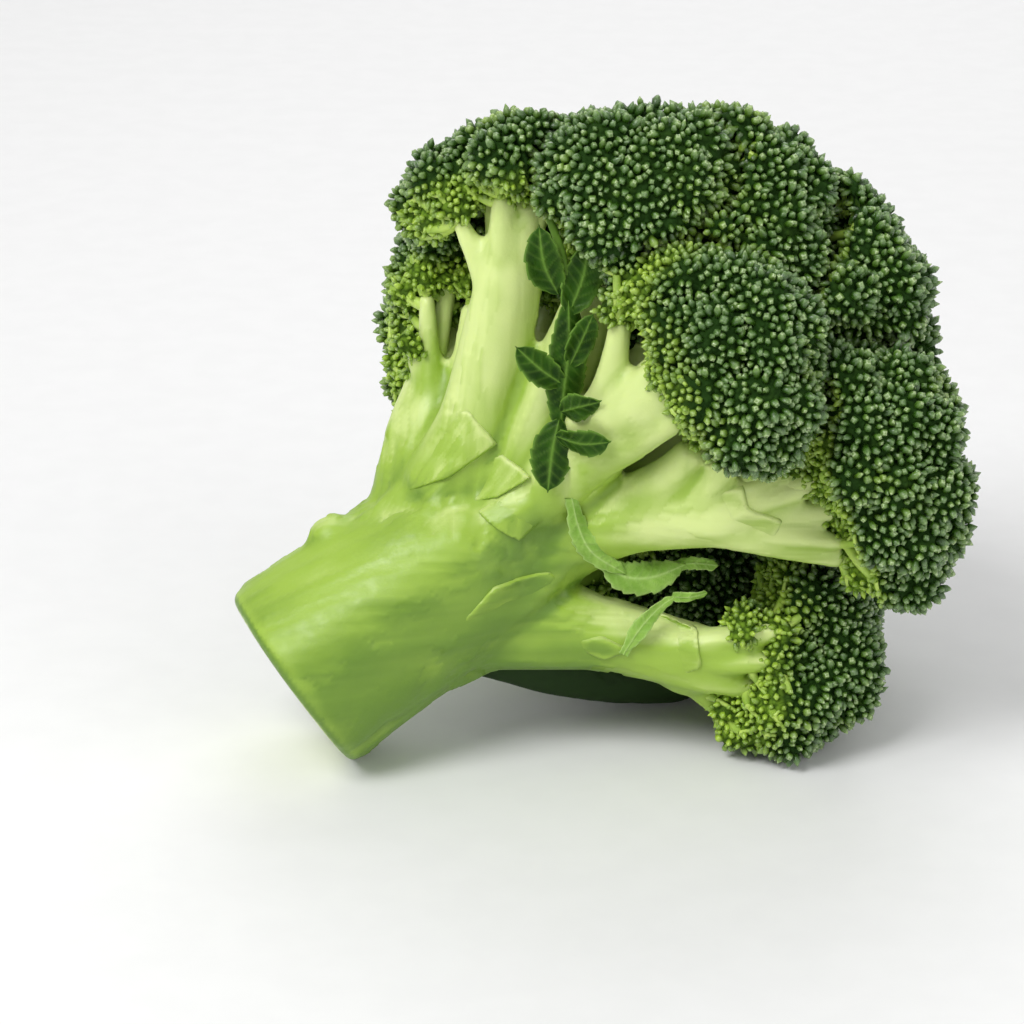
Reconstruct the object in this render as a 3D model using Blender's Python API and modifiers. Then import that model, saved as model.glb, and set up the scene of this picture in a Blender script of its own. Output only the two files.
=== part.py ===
"""A head of broccoli lying on its side, at rest on its cut end and its two lowest crowns.

A stout stalk divides into floret stems. Each stem forks into secondary stalks, one for each
lobe of the crown of flower buds that it carries, and small leaves grow from the stalk and stems.
Routes and lobes are given in millimetres as (x, y, z, radius) and the model is built in metres.
"""

import math
from dataclasses import dataclass

import bmesh
import bpy
from mathutils import Matrix, Vector
from mathutils.bvhtree import BVHTree

MM = 0.001
CLEARANCES = (0.9 * MM, 1.3 * MM, 1.8 * MM, 2.4 * MM, 3.1 * MM)  # tried in turn, until a piece is clear
COLLAR = 0.46  # share of each floret stem's route that is one with the stalk, up to where the stems part
COLLAR_OVERLAP = 0.12  # share of the route by which a stem starts inside its collar before it is cut back

STALK_VOXEL = 1.1 * MM
CROWN_VOXEL = 1.3 * MM
LEAF_VOXEL = 0.5 * MM
STALK_FACES = 900
STEM_FACES = 240
CROWN_FACES = 420
LEAF_FACES = 240
BLADE_THICKNESS = 1.1 * MM
BLADE_STEP = 0.05  # share of a blade's line over which its direction is taken
BLADE_TIP = 1.04  # above 1, so that a blade reaches its narrowest just before its end
HEALING_DETAIL = 4  # faces that a piece keeps between two cuts, as a multiple of those it ends with
LEAST_LEFT = 0.2  # share of a piece that a neighbour leaves at the very least
SLACK = 1.01  # how much more than a cutter's own volume a sound cut may seem to take
CROWN_WEIGHT = 0.5  # density of a crown as a share of the stalk's, because of the air between its buds
MOST_TILT = 4  # degrees that the head may turn from its modelled pose to come to rest
SECONDARY_START = 0.62  # radius of a secondary stalk at the fork, as a share of the stem's
SECONDARY_SET_BACK = 3  # mm that it starts inside the stem
SECONDARY_BEND = 0.3  # share of its way that it goes straight on from the stem
SECONDARY_LEAN = 0.4  # share of its way where it bends over towards its lobe
SECONDARY_END = 2.4  # mm, radius where a secondary stalk enters its lobe
SECONDARY_REACH = 0.15  # how far short of the lobe's centre it ends, as a share of the lobe's radius
UNDERSIDE = 0.5  # depth of the flat underside below a lobe's centre, as a share of its radius

STALK_ROUTE = (
    (-48, -12, 20, 22.5),
    (-28, -6, 33, 22),
    (-9, 0, 44, 21.5),
    (6, 3, 53, 16),
)
LEAF_STUB_ROUTE = ((-38, -3, 49, 6), (-42, -4, 54, 4), (-44, -5, 57, 1.8))  # left where a leaf was cut off


@dataclass(frozen=True)
class Floret:
    """One floret: the route of its stem, from the stalk to the fork, and the lobes of its crown."""

    place: str
    stem: tuple
    lobes: tuple
    side_shoot: tuple = ()
    facing: tuple = ()  # where the crown faces, if not straight on from the fork


@dataclass(frozen=True)
class Blade:
    """A strip of leaf: the line (x, y, z) that its middle follows, its half width in mm and its hollow."""

    line: tuple
    half_width: float
    across: tuple = (1, 0, 0.3)
    hollow: float = 0.25
    stalk_share: float = 0.12


FLORETS = (
    Floret(
        "front",
        ((6, -6, 59, 9), (18, -14, 76, 8), (29, -22, 88, 7)),
        (
            (46, -30, 104, 16.5),
            (46, -34, 93, 16.5),
            (36, -30, 98, 12),
            (36, -24, 109, 13.5),
            (47, -32, 84, 10),
        ),
    ),
    Floret(
        "right",
        ((6, -2, 48, 10.5), (24, -10, 57, 8), (44, -17, 61, 7.5)),
        (
            (76, -18, 80, 17),
            (78, -20, 65, 17.5),
            (79, -18, 51, 12.5),
            (66, -24, 88, 13),
            (72, -28, 74, 13),
        ),
    ),
    Floret(
        "lower",
        ((-7, -4, 33, 13), (18, -8, 29, 8), (40, -10, 24, 7)),
        (
            (63, 0, 32, 14),
            (66, -3, 20, 15),
            (57, -8, 16, 15),
            (51, -10, 33, 11),
            (48, -9, 14, 10.5),
        ),
        side_shoot=((31, -10, 25, 5), (35, -11, 20, 3.5), (38, -11, 18, 3)),
        facing=(0.8, 0.2, -0.35),
    ),
    Floret(
        "top_centre",
        ((2, -2, 64, 9), (12, -5, 90, 6.5), (18, -7, 106, 6)),
        ((20, -8, 130, 15.5), (32, -8, 130, 15.5), (25, -14, 120, 15), (16, -5, 122, 11.5)),
    ),
    Floret(
        "upper_left",
        ((-13, 0, 60, 11), (-7, 0, 76, 8.5), (-2, 0, 98, 7.5), (0, 0, 108, 7)),
        ((-4, 8, 127, 11), (1, 0, 131, 11.5), (10, -2, 132, 11.5), (5, 16, 122, 14)),
    ),
    Floret(
        "left",
        ((-20, 5, 56, 10), (-19, 10, 67, 8.5), (-16, 16, 77, 7)),
        (
            (-12, 22, 110, 11.5),
            (-15, 26, 97, 12.5),
            (-17, 30, 83, 12.5),
            (-18, 31, 71, 10),
            (-6, 34, 100, 14),
        ),
        facing=(-0.6, 0.75, 0.2),
    ),
    Floret(
        "top",
        ((10, 6, 61, 8), (29, 3, 88, 6), (37, 1, 100, 5.5)),
        ((42, -2, 129, 15.5), (52, 0, 123, 15.5), (40, -12, 119, 13), (50, -10, 115, 14)),
    ),
    Floret(
        "upper_right",
        ((16, 7, 56, 8), (42, 4, 78, 6), (52, 3, 88, 5.5)),
        ((65, 5, 114, 14.5), (71, 0, 104, 16.5), (64, -8, 105, 14), (76, 6, 92, 14)),
    ),
    Floret(
        "far_right",
        ((18, 16, 44, 7), (46, 22, 55, 5.5), (60, 23, 60, 5)),
        ((80, 18, 77, 13), (82, 28, 66, 15), (84, 10, 66, 12), (83, 6, 52, 13), (79, 16, 46, 13)),
    ),
    Floret(
        "under",
        ((-7, 8, 22, 9), (14, 11, 11, 6), (36, 16, 7, 5.5)),
        ((66, 34, 17, 16), (57, 32, 16, 14), (70, 22, 22, 12), (60, 44, 26, 13)),
    ),
    Floret(
        "centre_top",
        ((8, 12, 60, 7), (17, 15, 84, 5.5), (22, 17, 98, 5)),
        ((22, 12, 124, 13), (36, 16, 122, 15), (50, 18, 116, 14), (24, 24, 118, 13)),
    ),
    Floret(
        "centre_right",
        ((18, 13, 50, 7), (43, 18, 69, 5.5), (53, 20, 78, 5)),
        ((72, 22, 97, 14), (62, 20, 108, 14), (79, 10, 86, 12), (73, 34, 86, 13)),
    ),
    Floret(
        "back_upper_left",
        ((-3, 14, 55, 8), (3, 24, 72, 6.5), (6, 30, 84, 6)),
        ((6, 42, 107, 18), (-3, 46, 92, 16), (16, 34, 117, 15), (16, 52, 96, 14)),
    ),
    Floret(
        "back_top",
        ((11, 18, 54, 8), (26, 28, 68, 6.5), (34, 34, 78, 6)),
        ((37, 42, 106, 20), (52, 48, 93, 18), (60, 32, 103, 15), (38, 58, 90, 14)),
    ),
    Floret(
        "back_right",
        ((15, 20, 42, 8), (36, 34, 45, 6.5), (46, 41, 46, 6)),
        ((68, 52, 62, 18), (74, 48, 46, 16), (64, 58, 38, 15), (58, 64, 56, 13), (70, 46, 77, 13)),
    ),
    Floret(
        "back_left",
        ((2, 20, 42, 8), (9, 36, 46, 6.5), (12, 44, 48, 6)),
        ((6, 62, 66, 17), (16, 66, 44, 16), (34, 66, 58, 17), (24, 64, 74, 14), (44, 60, 70, 13)),
    ),
    Floret(
        "back_low",
        ((6, 20, 33, 8), (22, 38, 26, 6.5), (29, 45, 24, 6)),
        ((34, 62, 28, 16), (46, 58, 20, 15), (24, 56, 18, 13), (57, 57, 28, 11)),
    ),
)

SPRIG_MIDRIB = (
    (8, -13, 124, 1.0),
    (11, -15, 115, 1.1),
    (12, -16, 105, 1.2),
    (11, -17, 90, 1.2),
    (9.5, -18, 77, 1.0),
    (8, -19.5, 69, 0.7),
)
SPRIG_BLADES = (
    Blade(((12, -16, 106), (12, -17, 98), (11, -17.5, 88), (10, -18, 79)), 3.6),
    Blade(((10, -15, 109), (7, -16.5, 115), (6, -15.5, 121)), 3.2),
    Blade(((12, -16, 106), (15, -15.5, 112), (16, -14.5, 117)), 3.0),
    Blade(((11, -17, 91), (6, -18, 95), (2.5, -18.5, 98)), 2.6, (0.5, 0, 1)),
    Blade(((12, -17, 94), (15, -17.5, 100), (17, -17.5, 104)), 2.4),
    Blade(((11, -18, 84), (15, -20, 87.5), (18, -21, 89)), 2.6, (0.4, 0, -1)),
    Blade(((10, -19, 80), (15, -21, 80.5), (19.5, -22, 81)), 2.6, (0, 0, -1)),
    Blade(((10, -18.5, 81), (8.5, -20, 75.5), (7.5, -20.5, 68.5)), 3.6),
)
UPPER_BRACT = (
    Blade(
        ((14, -14, 62), (16, -14, 53), (20, -12.5, 46.5), (23, -12, 45)),
        half_width=2.0,
        across=(1, 0, 0.6),
        stalk_share=0.7,
    ),
    Blade(
        ((20, -12.5, 46.5), (24, -12, 44.5), (30, -11, 44), (36, -9.5, 45)),
        half_width=2.3,
        across=(0, 0.4, 1),
        stalk_share=0.4,
    ),
    Blade(((33, -10, 44.5), (38, -9, 45), (43, -8, 44)), 1.1, (0, 0.4, 1), stalk_share=0.9),
)
LOWER_BRACT = (
    Blade(
        ((23.5, -17, 28), (27, -17, 34), (31, -15.5, 38), (34.5, -14, 40)),
        half_width=1.7,
        across=(1, 0, -0.8),
        stalk_share=0.6,
    ),
    Blade(((34, -14, 40), (38, -13, 39.5), (41.5, -12, 40)), 1.0, (0.2, 0, -1), stalk_share=0.9),
)

FLESH = ("stalk_flesh", (0.50, 0.66, 0.20), 0.45)
BUDS = ("green_buds", (0.07, 0.16, 0.05), 0.6)
LEAF = ("dark_leaf", (0.05, 0.16, 0.04), 0.45)
BRACT = ("pale_leaf", (0.42, 0.62, 0.16), 0.5)


def clear_scene() -> None:
    """Removes every object that the file starts with."""
    for obj in list(bpy.data.objects):
        bpy.data.objects.remove(obj)


def material(spec: tuple) -> bpy.types.Material:
    """The material of a (name, colour, roughness) row, made once."""
    name, colour, roughness = spec
    found = bpy.data.materials.get(name)
    if found:
        return found
    made = bpy.data.materials.new(name)
    made.use_nodes = True
    shader = made.node_tree.nodes["Principled BSDF"]
    shader.inputs["Base Color"].default_value = (*colour, 1.0)
    shader.inputs["Roughness"].default_value = roughness
    shader.inputs["Metallic"].default_value = 0.0
    return made


def add_object(name: str, data, collection: bpy.types.Collection) -> bpy.types.Object:
    """A new object in the collection."""
    obj = bpy.data.objects.new(name, data)
    collection.objects.link(obj)
    return obj


def baked(obj: bpy.types.Object) -> bpy.types.Object:
    """The object with its modifiers applied to its mesh."""
    bpy.context.view_layer.update()
    graph = bpy.context.evaluated_depsgraph_get()
    mesh = bpy.data.meshes.new_from_object(obj.evaluated_get(graph))
    obj.modifiers.clear()
    obj.data = mesh
    return obj


def tube(route: tuple, helpers: bpy.types.Collection) -> bpy.types.Mesh:
    """A round tube with closed ends through the (x, y, z, radius) points of a route."""
    curve = bpy.data.curves.new("tube", "CURVE")
    curve.dimensions = "3D"
    curve.bevel_depth = MM
    curve.bevel_resolution = 3
    curve.resolution_u = 4
    curve.use_fill_caps = True
    spline = curve.splines.new("BEZIER")
    spline.bezier_points.add(len(route) - 1)
    for point, (x, y, z, radius) in zip(spline.bezier_points, route):
        point.co = Vector((x, y, z)) * MM
        point.radius = radius
        point.handle_left_type = "AUTO"
        point.handle_right_type = "AUTO"
    obj = add_object("tube", curve, helpers)
    bpy.context.view_layer.update()
    graph = bpy.context.evaluated_depsgraph_get()
    mesh = bpy.data.meshes.new_from_object(obj.evaluated_get(graph))
    bpy.data.objects.remove(obj)
    work = bmesh.new()
    work.from_mesh(mesh)
    bmesh.ops.remove_doubles(work, verts=work.verts, dist=1e-6)
    work.to_mesh(mesh)
    work.free()
    return mesh


def ball(centre: Vector, radius: float) -> bpy.types.Mesh:
    """A sphere as a mesh."""
    mesh = bpy.data.meshes.new("ball")
    work = bmesh.new()
    bmesh.ops.create_icosphere(work, subdivisions=3, radius=radius, matrix=Matrix.Translation(centre))
    work.to_mesh(mesh)
    work.free()
    return mesh


def blend(name: str, meshes: list, voxel: float, faces: int, collection, smoothing: int = 4):
    """One closed body grown together from overlapping meshes, with about the given number of faces."""
    work = bmesh.new()
    for mesh in meshes:
        work.from_mesh(mesh)
    joined = bpy.data.meshes.new(name)
    work.to_mesh(joined)
    work.free()
    obj = add_object(name, joined, collection)
    remesh = obj.modifiers.new("grow_together", "REMESH")
    remesh.mode = "VOXEL"
    remesh.voxel_size = voxel
    smooth = obj.modifiers.new("soften", "SMOOTH")
    smooth.factor = 0.5
    smooth.iterations = smoothing
    baked(obj)
    thin_out(obj, faces)
    return obj


def thin_out(obj: bpy.types.Object, faces: int) -> None:
    """Collapses edges until the object has about the given number of triangles."""
    triangles = sum(len(face.vertices) - 2 for face in obj.data.polygons)
    decimate = obj.modifiers.new("thin_out", "DECIMATE")
    decimate.ratio = min(1.0, faces / triangles)
    decimate.use_collapse_triangulate = True
    baked(obj)


def keep_largest(obj: bpy.types.Object) -> None:
    """Deletes every separate scrap of the mesh but the largest body."""
    work = bmesh.new()
    work.from_mesh(obj.data)
    left = set(work.faces)
    bodies = []
    while left:
        front = [left.pop()]
        body = list(front)
        while front:
            face = front.pop()
            for edge in face.edges:
                for other in edge.link_faces:
                    if other in left:
                        left.remove(other)
                        front.append(other)
                        body.append(other)
        bodies.append(body)
    bodies.sort(key=lambda body: sum(face.calc_area() for face in body))
    scraps = [face for body in bodies[:-1] for face in body]
    bmesh.ops.delete(work, geom=scraps, context="FACES")
    work.to_mesh(obj.data)
    work.free()


def surfaces_meet(a: bpy.types.Object, b: bpy.types.Object) -> bool:
    """Whether the surfaces of two objects at the origin cross each other."""
    trees = []
    for obj in (a, b):
        corners = [vertex.co for vertex in obj.data.vertices]
        trees.append(BVHTree.FromPolygons(corners, [face.vertices for face in obj.data.polygons]))
    return bool(trees[0].overlap(trees[1]))


def measured(obj: bpy.types.Object) -> tuple:
    """The volume of the object's mesh, and whether every edge of it joins exactly two faces."""
    work = bmesh.new()
    work.from_mesh(obj.data)
    closed = all(len(edge.link_faces) == 2 for edge in work.edges)
    found = work.calc_volume(signed=True), closed and len(work.edges) > 0
    work.free()
    return found


def swollen(neighbour: bpy.types.Object, clearance: float, helpers) -> bpy.types.Object:
    """A cutter: the neighbour's mesh with its surface moved out by the clearance."""
    cutter = add_object("cutter", neighbour.data.copy(), helpers)
    cutter.hide_render = True
    cutter.display_type = "WIRE"
    swell = cutter.modifiers.new("clearance", "DISPLACE")
    swell.mid_level = 0.0
    swell.strength = clearance
    return baked(cutter)


def cut_away(obj: bpy.types.Object, neighbour: bpy.types.Object, clearance: float, helpers) -> None:
    """Takes the neighbour out. The second solver is for where the first leaves a mesh that isn't sound."""
    cutter = swollen(neighbour, clearance, helpers)
    whole = obj.data
    before = measured(obj)[0]
    least = max(before - measured(cutter)[0] * SLACK, before * LEAST_LEFT)
    for solver in ("EXACT", "MANIFOLD"):
        obj.data = whole
        cut = obj.modifiers.new("make_room", "BOOLEAN")
        cut.operation = "DIFFERENCE"
        cut.solver = solver
        cut.use_self = True
        cut.object = cutter
        baked(obj)
        after, closed = measured(obj)
        if closed and least < after <= before:
            break
    bpy.data.objects.remove(cutter)


def heal(obj: bpy.types.Object, voxel: float, faces: int) -> None:
    """Rounds off the thin edges that a cut leaves, drops what it parted and thins out the faces."""
    remesh = obj.modifiers.new("heal", "REMESH")
    remesh.mode = "VOXEL"
    remesh.voxel_size = voxel
    baked(obj)
    keep_largest(obj)
    thin_out(obj, faces)


def make_room(obj: bpy.types.Object, neighbours: list, voxel: float, faces: int, helpers) -> None:
    """Cuts each neighbour that the object meets out of it, with as little clearance as parts them all."""
    whole = obj.data
    near = []
    for clearance in CLEARANCES:
        met = [neighbour for neighbour in neighbours if surfaces_meet(obj, neighbour)]
        if not met:
            break
        near += [neighbour for neighbour in met if neighbour not in near]
        obj.data = whole.copy()
        for neighbour in near:
            cut_away(obj, neighbour, clearance, helpers)
            heal(obj, voxel, faces * HEALING_DETAIL)
        thin_out(obj, faces)


def finish(obj: bpy.types.Object, spec: tuple) -> None:
    """Gives the object its one material and smooth shading."""
    obj.data.materials.clear()
    obj.data.materials.append(material(spec))
    obj.data.shade_smooth()


def stretch(route: tuple, start: float, end: float) -> tuple:
    """The part of a route between two shares of its length, with the points that lie between them."""
    points = [Vector(point) for point in route]
    lengths = [0.0]
    for before, after in zip(points, points[1:]):
        lengths.append(lengths[-1] + (after.xyz - before.xyz).length)
    found = []
    for share in (start, end):
        at = share * lengths[-1]
        index = max(i for i in range(len(points) - 1) if lengths[i] <= at)
        t = (at - lengths[index]) / (lengths[index + 1] - lengths[index])
        found.append(tuple(points[index].lerp(points[index + 1], t)))
    between = [route[i] for i in range(len(route)) if start < lengths[i] / lengths[-1] < end]
    return (found[0], *between, found[1])


def build_stalk(parts: bpy.types.Collection, helpers: bpy.types.Collection) -> bpy.types.Object:
    """The main stalk, cut square across below, with a leaf's stub and a collar at each floret stem."""
    meshes = [tube(STALK_ROUTE, helpers), tube(LEAF_STUB_ROUTE, helpers)]
    meshes += [tube(stretch(floret.stem, 0, COLLAR), helpers) for floret in FLORETS]
    obj = blend("main_stalk", meshes, STALK_VOXEL, STALK_FACES, parts)
    finish(obj, FLESH)
    return obj


def build_stem(floret: Floret, parts, helpers) -> bpy.types.Object:
    """A floret's stem and its secondary stalks, one to each lobe of the crown."""
    meshes = [tube(stretch(floret.stem, COLLAR - COLLAR_OVERLAP, 1), helpers)]
    *_, before, fork = floret.stem
    fork_at = Vector(fork[:3])
    ahead = (fork_at - Vector(before[:3])).normalized()
    for x, y, z, radius in floret.lobes:
        centre = Vector((x, y, z))
        end = centre - (centre - fork_at).normalized() * radius * SECONDARY_REACH
        straight_on = fork_at + ahead * (end - fork_at).length * SECONDARY_BEND
        bend = straight_on.lerp(fork_at.lerp(end, SECONDARY_LEAN), 0.5)
        start_radius = fork[3] * SECONDARY_START
        middle_radius = (start_radius + SECONDARY_END) / 2
        route = (
            (*(fork_at - ahead * SECONDARY_SET_BACK), start_radius),
            (*bend, middle_radius),
            (*end, SECONDARY_END),
        )
        meshes.append(tube(route, helpers))
    if floret.side_shoot:
        meshes.append(tube(floret.side_shoot, helpers))
    obj = blend("stem_" + floret.place, meshes, STALK_VOXEL, STEM_FACES, parts)
    finish(obj, FLESH)
    return obj


def build_crown(floret: Floret, parts) -> bpy.types.Object:
    """The crown of buds: lobes grown together, with a flat underside that faces the fork."""
    meshes = [ball(Vector(lobe[:3]) * MM, lobe[3] * MM) for lobe in floret.lobes]
    obj = blend("crown_" + floret.place, meshes, CROWN_VOXEL, CROWN_FACES * 4, parts)
    fork = Vector(floret.stem[-1][:3]) * MM
    weights = sum(lobe[3] ** 3 for lobe in floret.lobes)
    middle = sum((Vector(lobe[:3]) * lobe[3] ** 3 for lobe in floret.lobes), Vector()) / weights * MM
    outward = Vector(floret.facing).normalized() if floret.facing else (middle - fork).normalized()
    depth = 0.0
    for *centre, radius in floret.lobes:
        depth += (Vector(centre) * MM - middle).dot(outward) - radius * MM * UNDERSIDE
    level = middle + outward * depth / len(floret.lobes)
    work = bmesh.new()
    work.from_mesh(obj.data)
    geometry = work.verts[:] + work.edges[:] + work.faces[:]
    cut = bmesh.ops.bisect_plane(work, geom=geometry, plane_co=level, plane_no=outward, clear_inner=True)
    rim = [item for item in cut["geom_cut"] if isinstance(item, bmesh.types.BMEdge)]
    bmesh.ops.contextual_create(work, geom=rim)
    bmesh.ops.triangulate(work, faces=work.faces)
    bmesh.ops.recalc_face_normals(work, faces=work.faces)
    work.to_mesh(obj.data)
    work.free()
    thin_out(obj, CROWN_FACES)
    finish(obj, BUDS)
    return obj


def on_line(line: tuple, share: float) -> Vector:
    """The point at a share of the way along a smooth line through the given points."""
    points = [Vector(point) * MM for point in line]
    place = share * (len(points) - 1)
    index = min(int(place), len(points) - 2)
    t = place - index
    before = points[max(index - 1, 0)]
    start, end = points[index], points[index + 1]
    after = points[min(index + 2, len(points) - 1)]
    bend = (end - before) * t + (2 * before - 5 * start + 4 * end - after) * t**2
    return start + (bend + (3 * start - before - 3 * end + after) * t**3) / 2


def blade_mesh(blade: Blade, helpers: bpy.types.Collection) -> bpy.types.Mesh:
    """A leaf blade of even thickness, hollow along its middle and narrow at both ends."""
    work = bmesh.new()
    bmesh.ops.create_grid(work, x_segments=12, y_segments=4, size=1.0)
    for vertex in work.verts:
        share = (vertex.co.x + 1) / 2
        side = vertex.co.y
        middle = on_line(blade.line, share)
        before = on_line(blade.line, max(share - BLADE_STEP, 0))
        ahead = (on_line(blade.line, min(share + BLADE_STEP, 1)) - before).normalized()
        across = Vector(blade.across)
        across = (across - ahead * across.dot(ahead)).normalized()
        swell = max(math.sin(math.pi * min(share * BLADE_TIP, 1)), 0)
        width = blade.half_width * MM * max(swell, blade.stalk_share)
        vertex.co = middle + across * width * side - across.cross(ahead) * width * blade.hollow * side**2
    mesh = bpy.data.meshes.new("blade")
    work.to_mesh(mesh)
    work.free()
    obj = add_object("blade", mesh, helpers)
    solidify = obj.modifiers.new("thickness", "SOLIDIFY")
    solidify.thickness = BLADE_THICKNESS
    solidify.offset = 0.0
    baked(obj)
    mesh = obj.data
    bpy.data.objects.remove(obj)
    return mesh


def build_leaf(name: str, blades: tuple, midrib: tuple, spec: tuple, parts, helpers):
    """A leaf of one or more blades grown together, along a round midrib where it has one."""
    meshes = [blade_mesh(blade, helpers) for blade in blades]
    if midrib:
        meshes.append(tube(midrib, helpers))
    obj = blend(name, meshes, LEAF_VOXEL, LEAF_FACES, parts, smoothing=1)
    keep_largest(obj)
    finish(obj, spec)
    return obj


def centre_of_mass(objects: list) -> Vector:
    """The balance point of all the objects, with the airy crowns lighter than the rest."""
    moment = Vector()
    mass = 0.0
    for obj in objects:
        weight = CROWN_WEIGHT if obj.name.startswith("crown") else 1.0
        obj.data.calc_loop_triangles()
        for triangle in obj.data.loop_triangles:
            a, b, c = (obj.data.vertices[index].co for index in triangle.vertices)
            share = weight * a.dot(b.cross(c)) / 6
            moment += share * (a + b + c) / 4
            mass += share
    return moment / mass


def resting_turn(objects: list) -> Matrix:
    """The small turn that lays the head on the three points under its centre of mass."""
    centre = centre_of_mass(objects)
    down = Vector((0, 0, -1))
    hull = bmesh.new()
    for obj in objects:
        for vertex in obj.data.vertices:
            hull.verts.new(vertex.co)
    bmesh.ops.convex_hull(hull, input=hull.verts)
    best = down
    least_tilt = math.radians(MOST_TILT)
    for face in hull.faces:
        tilt = face.normal.angle(down)
        if tilt >= least_tilt:
            continue
        corners = [loop.vert.co for loop in face.loops]
        edges = zip(corners, corners[1:] + corners[:1])
        if all((end - start).cross(centre - start).dot(face.normal) > 0 for start, end in edges):
            best = face.normal.copy()
            least_tilt = tilt
    hull.free()
    return best.rotation_difference(down).to_matrix().to_4x4()


def rest_on_ground(objects: list) -> None:
    """Lays the whole head on its three lowest points, on z = 0, with its footprint centred."""
    turn = resting_turn(objects)
    for obj in objects:
        obj.data.transform(turn)
    corners = [vertex.co for obj in objects for vertex in obj.data.vertices]
    low = Vector([min(corner[axis] for corner in corners) for axis in range(3)])
    high = Vector([max(corner[axis] for corner in corners) for axis in range(3)])
    shift = Vector((-(low.x + high.x) / 2, -(low.y + high.y) / 2, -low.z))
    for obj in objects:
        obj.data.transform(Matrix.Translation(shift))


def build() -> None:
    """Builds every piece, with clearance between neighbours, and stands the head on the ground."""
    clear_scene()
    parts = bpy.data.collections.new("broccoli_head")
    helpers = bpy.data.collections.new("cutters")
    bpy.context.scene.collection.children.link(parts)
    bpy.context.scene.collection.children.link(helpers)
    stalk = build_stalk(parts, helpers)
    stems = []
    for floret in FLORETS:
        stem = build_stem(floret, parts, helpers)
        make_room(stem, [stalk, *stems], STALK_VOXEL, STEM_FACES, helpers)
        stems.append(stem)
    crowns = []
    for floret in FLORETS:
        crown = build_crown(floret, parts)
        make_room(crown, [*crowns, *stems], CROWN_VOXEL, CROWN_FACES, helpers)
        crowns.append(crown)
    leaves = [
        build_leaf("leaf_sprig", SPRIG_BLADES, SPRIG_MIDRIB, LEAF, parts, helpers),
        build_leaf("bract_upper", UPPER_BRACT, (), BRACT, parts, helpers),
        build_leaf("bract_lower", LOWER_BRACT, (), BRACT, parts, helpers),
    ]
    for leaf in leaves:
        make_room(leaf, [stalk, *stems, *crowns], LEAF_VOXEL, LEAF_FACES, helpers)
    rest_on_ground([stalk, *stems, *crowns, *leaves])


build()
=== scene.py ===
"""A head of broccoli lying on its side, with its stalks, bud crowns, twigs and small leaves.

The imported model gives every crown's place. The stalk and its forks follow the same routes as the
solids do, in millimetres as (x, y, z, radius), and are then laid on the ground with them.
"""

import logging
import math
from dataclasses import dataclass
from enum import Enum
from typing import Optional, Union

import bmesh
import bpy
import numpy as np
from mathutils import Matrix, Vector
from mathutils.bvhtree import BVHTree
from mathutils.kdtree import KDTree

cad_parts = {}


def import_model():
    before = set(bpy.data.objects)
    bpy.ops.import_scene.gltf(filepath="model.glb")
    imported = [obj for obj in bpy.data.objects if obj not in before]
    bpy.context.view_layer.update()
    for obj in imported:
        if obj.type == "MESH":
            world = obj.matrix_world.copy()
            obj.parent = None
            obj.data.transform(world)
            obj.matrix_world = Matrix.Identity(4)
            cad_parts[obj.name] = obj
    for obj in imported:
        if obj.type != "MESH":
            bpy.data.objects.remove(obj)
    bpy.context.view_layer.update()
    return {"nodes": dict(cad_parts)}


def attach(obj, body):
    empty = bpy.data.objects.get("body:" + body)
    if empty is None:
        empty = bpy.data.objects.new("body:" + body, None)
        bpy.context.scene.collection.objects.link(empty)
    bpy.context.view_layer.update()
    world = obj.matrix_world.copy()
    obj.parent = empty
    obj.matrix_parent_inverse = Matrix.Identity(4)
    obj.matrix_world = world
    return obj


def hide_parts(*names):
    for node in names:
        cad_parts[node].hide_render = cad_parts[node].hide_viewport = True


LOG = logging.getLogger("broccoli_head")
MM = 0.001
BODY = "root"

Socket = bpy.types.NodeSocket
Colour = tuple[float, float, float]
Value = Union[Socket, float, Colour]

# How the modelled head was turned and moved to lie at rest.
LAY_AXIS = (-0.273522, -0.961425, 0.0)
LAY_DEGREES = 0.47147
LAY_SHIFT = (-18.057, -16.117, -1.195)


class Slot(Enum):
    """The material slots."""

    FLESH = "stalk_flesh"
    BUDS = "green_buds"
    LEAF = "dark_leaf"
    BRACT = "pale_leaf"


@dataclass(frozen=True)
class Floret:
    """One floret, with every place and radius in millimetres.

    The stem and the shoots beside it are routes, as rows of (x, y, z, radius). The lobes of the crown,
    the young tufts and the lumps that fill a gap behind are balls, as (x, y, z, radius). The last three
    are shares: where on a thin stalk the buds begin, how far up the crown the young ones reach, and how
    thick the thin stalks are beside the stem that they leave.
    """

    place: str
    stem: tuple
    lobes: tuple
    shoots: tuple = ()
    tufts: tuple = ()
    lumps: tuple = ()
    bare: float = 0.62
    youth: float = 0.50
    fork_size: float = 0.50

    @property
    def fork(self) -> np.ndarray:
        """Where the stem forks, laid, in metres."""
        return laid([self.stem[-1][:3]])[0]


@dataclass(frozen=True)
class Blade:
    """A strip of leaf, in millimetres.

    Its middle follows the line, as rows of (x, y, z), and its width runs along the direction across.
    Its sides bend down by the hollow, and its stalk keeps a share of the half width.
    """

    line: tuple
    half_width: float
    across: tuple = (1, 0, 0.3)
    hollow: float = 0.25
    stalk_share: float = 0.12


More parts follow.
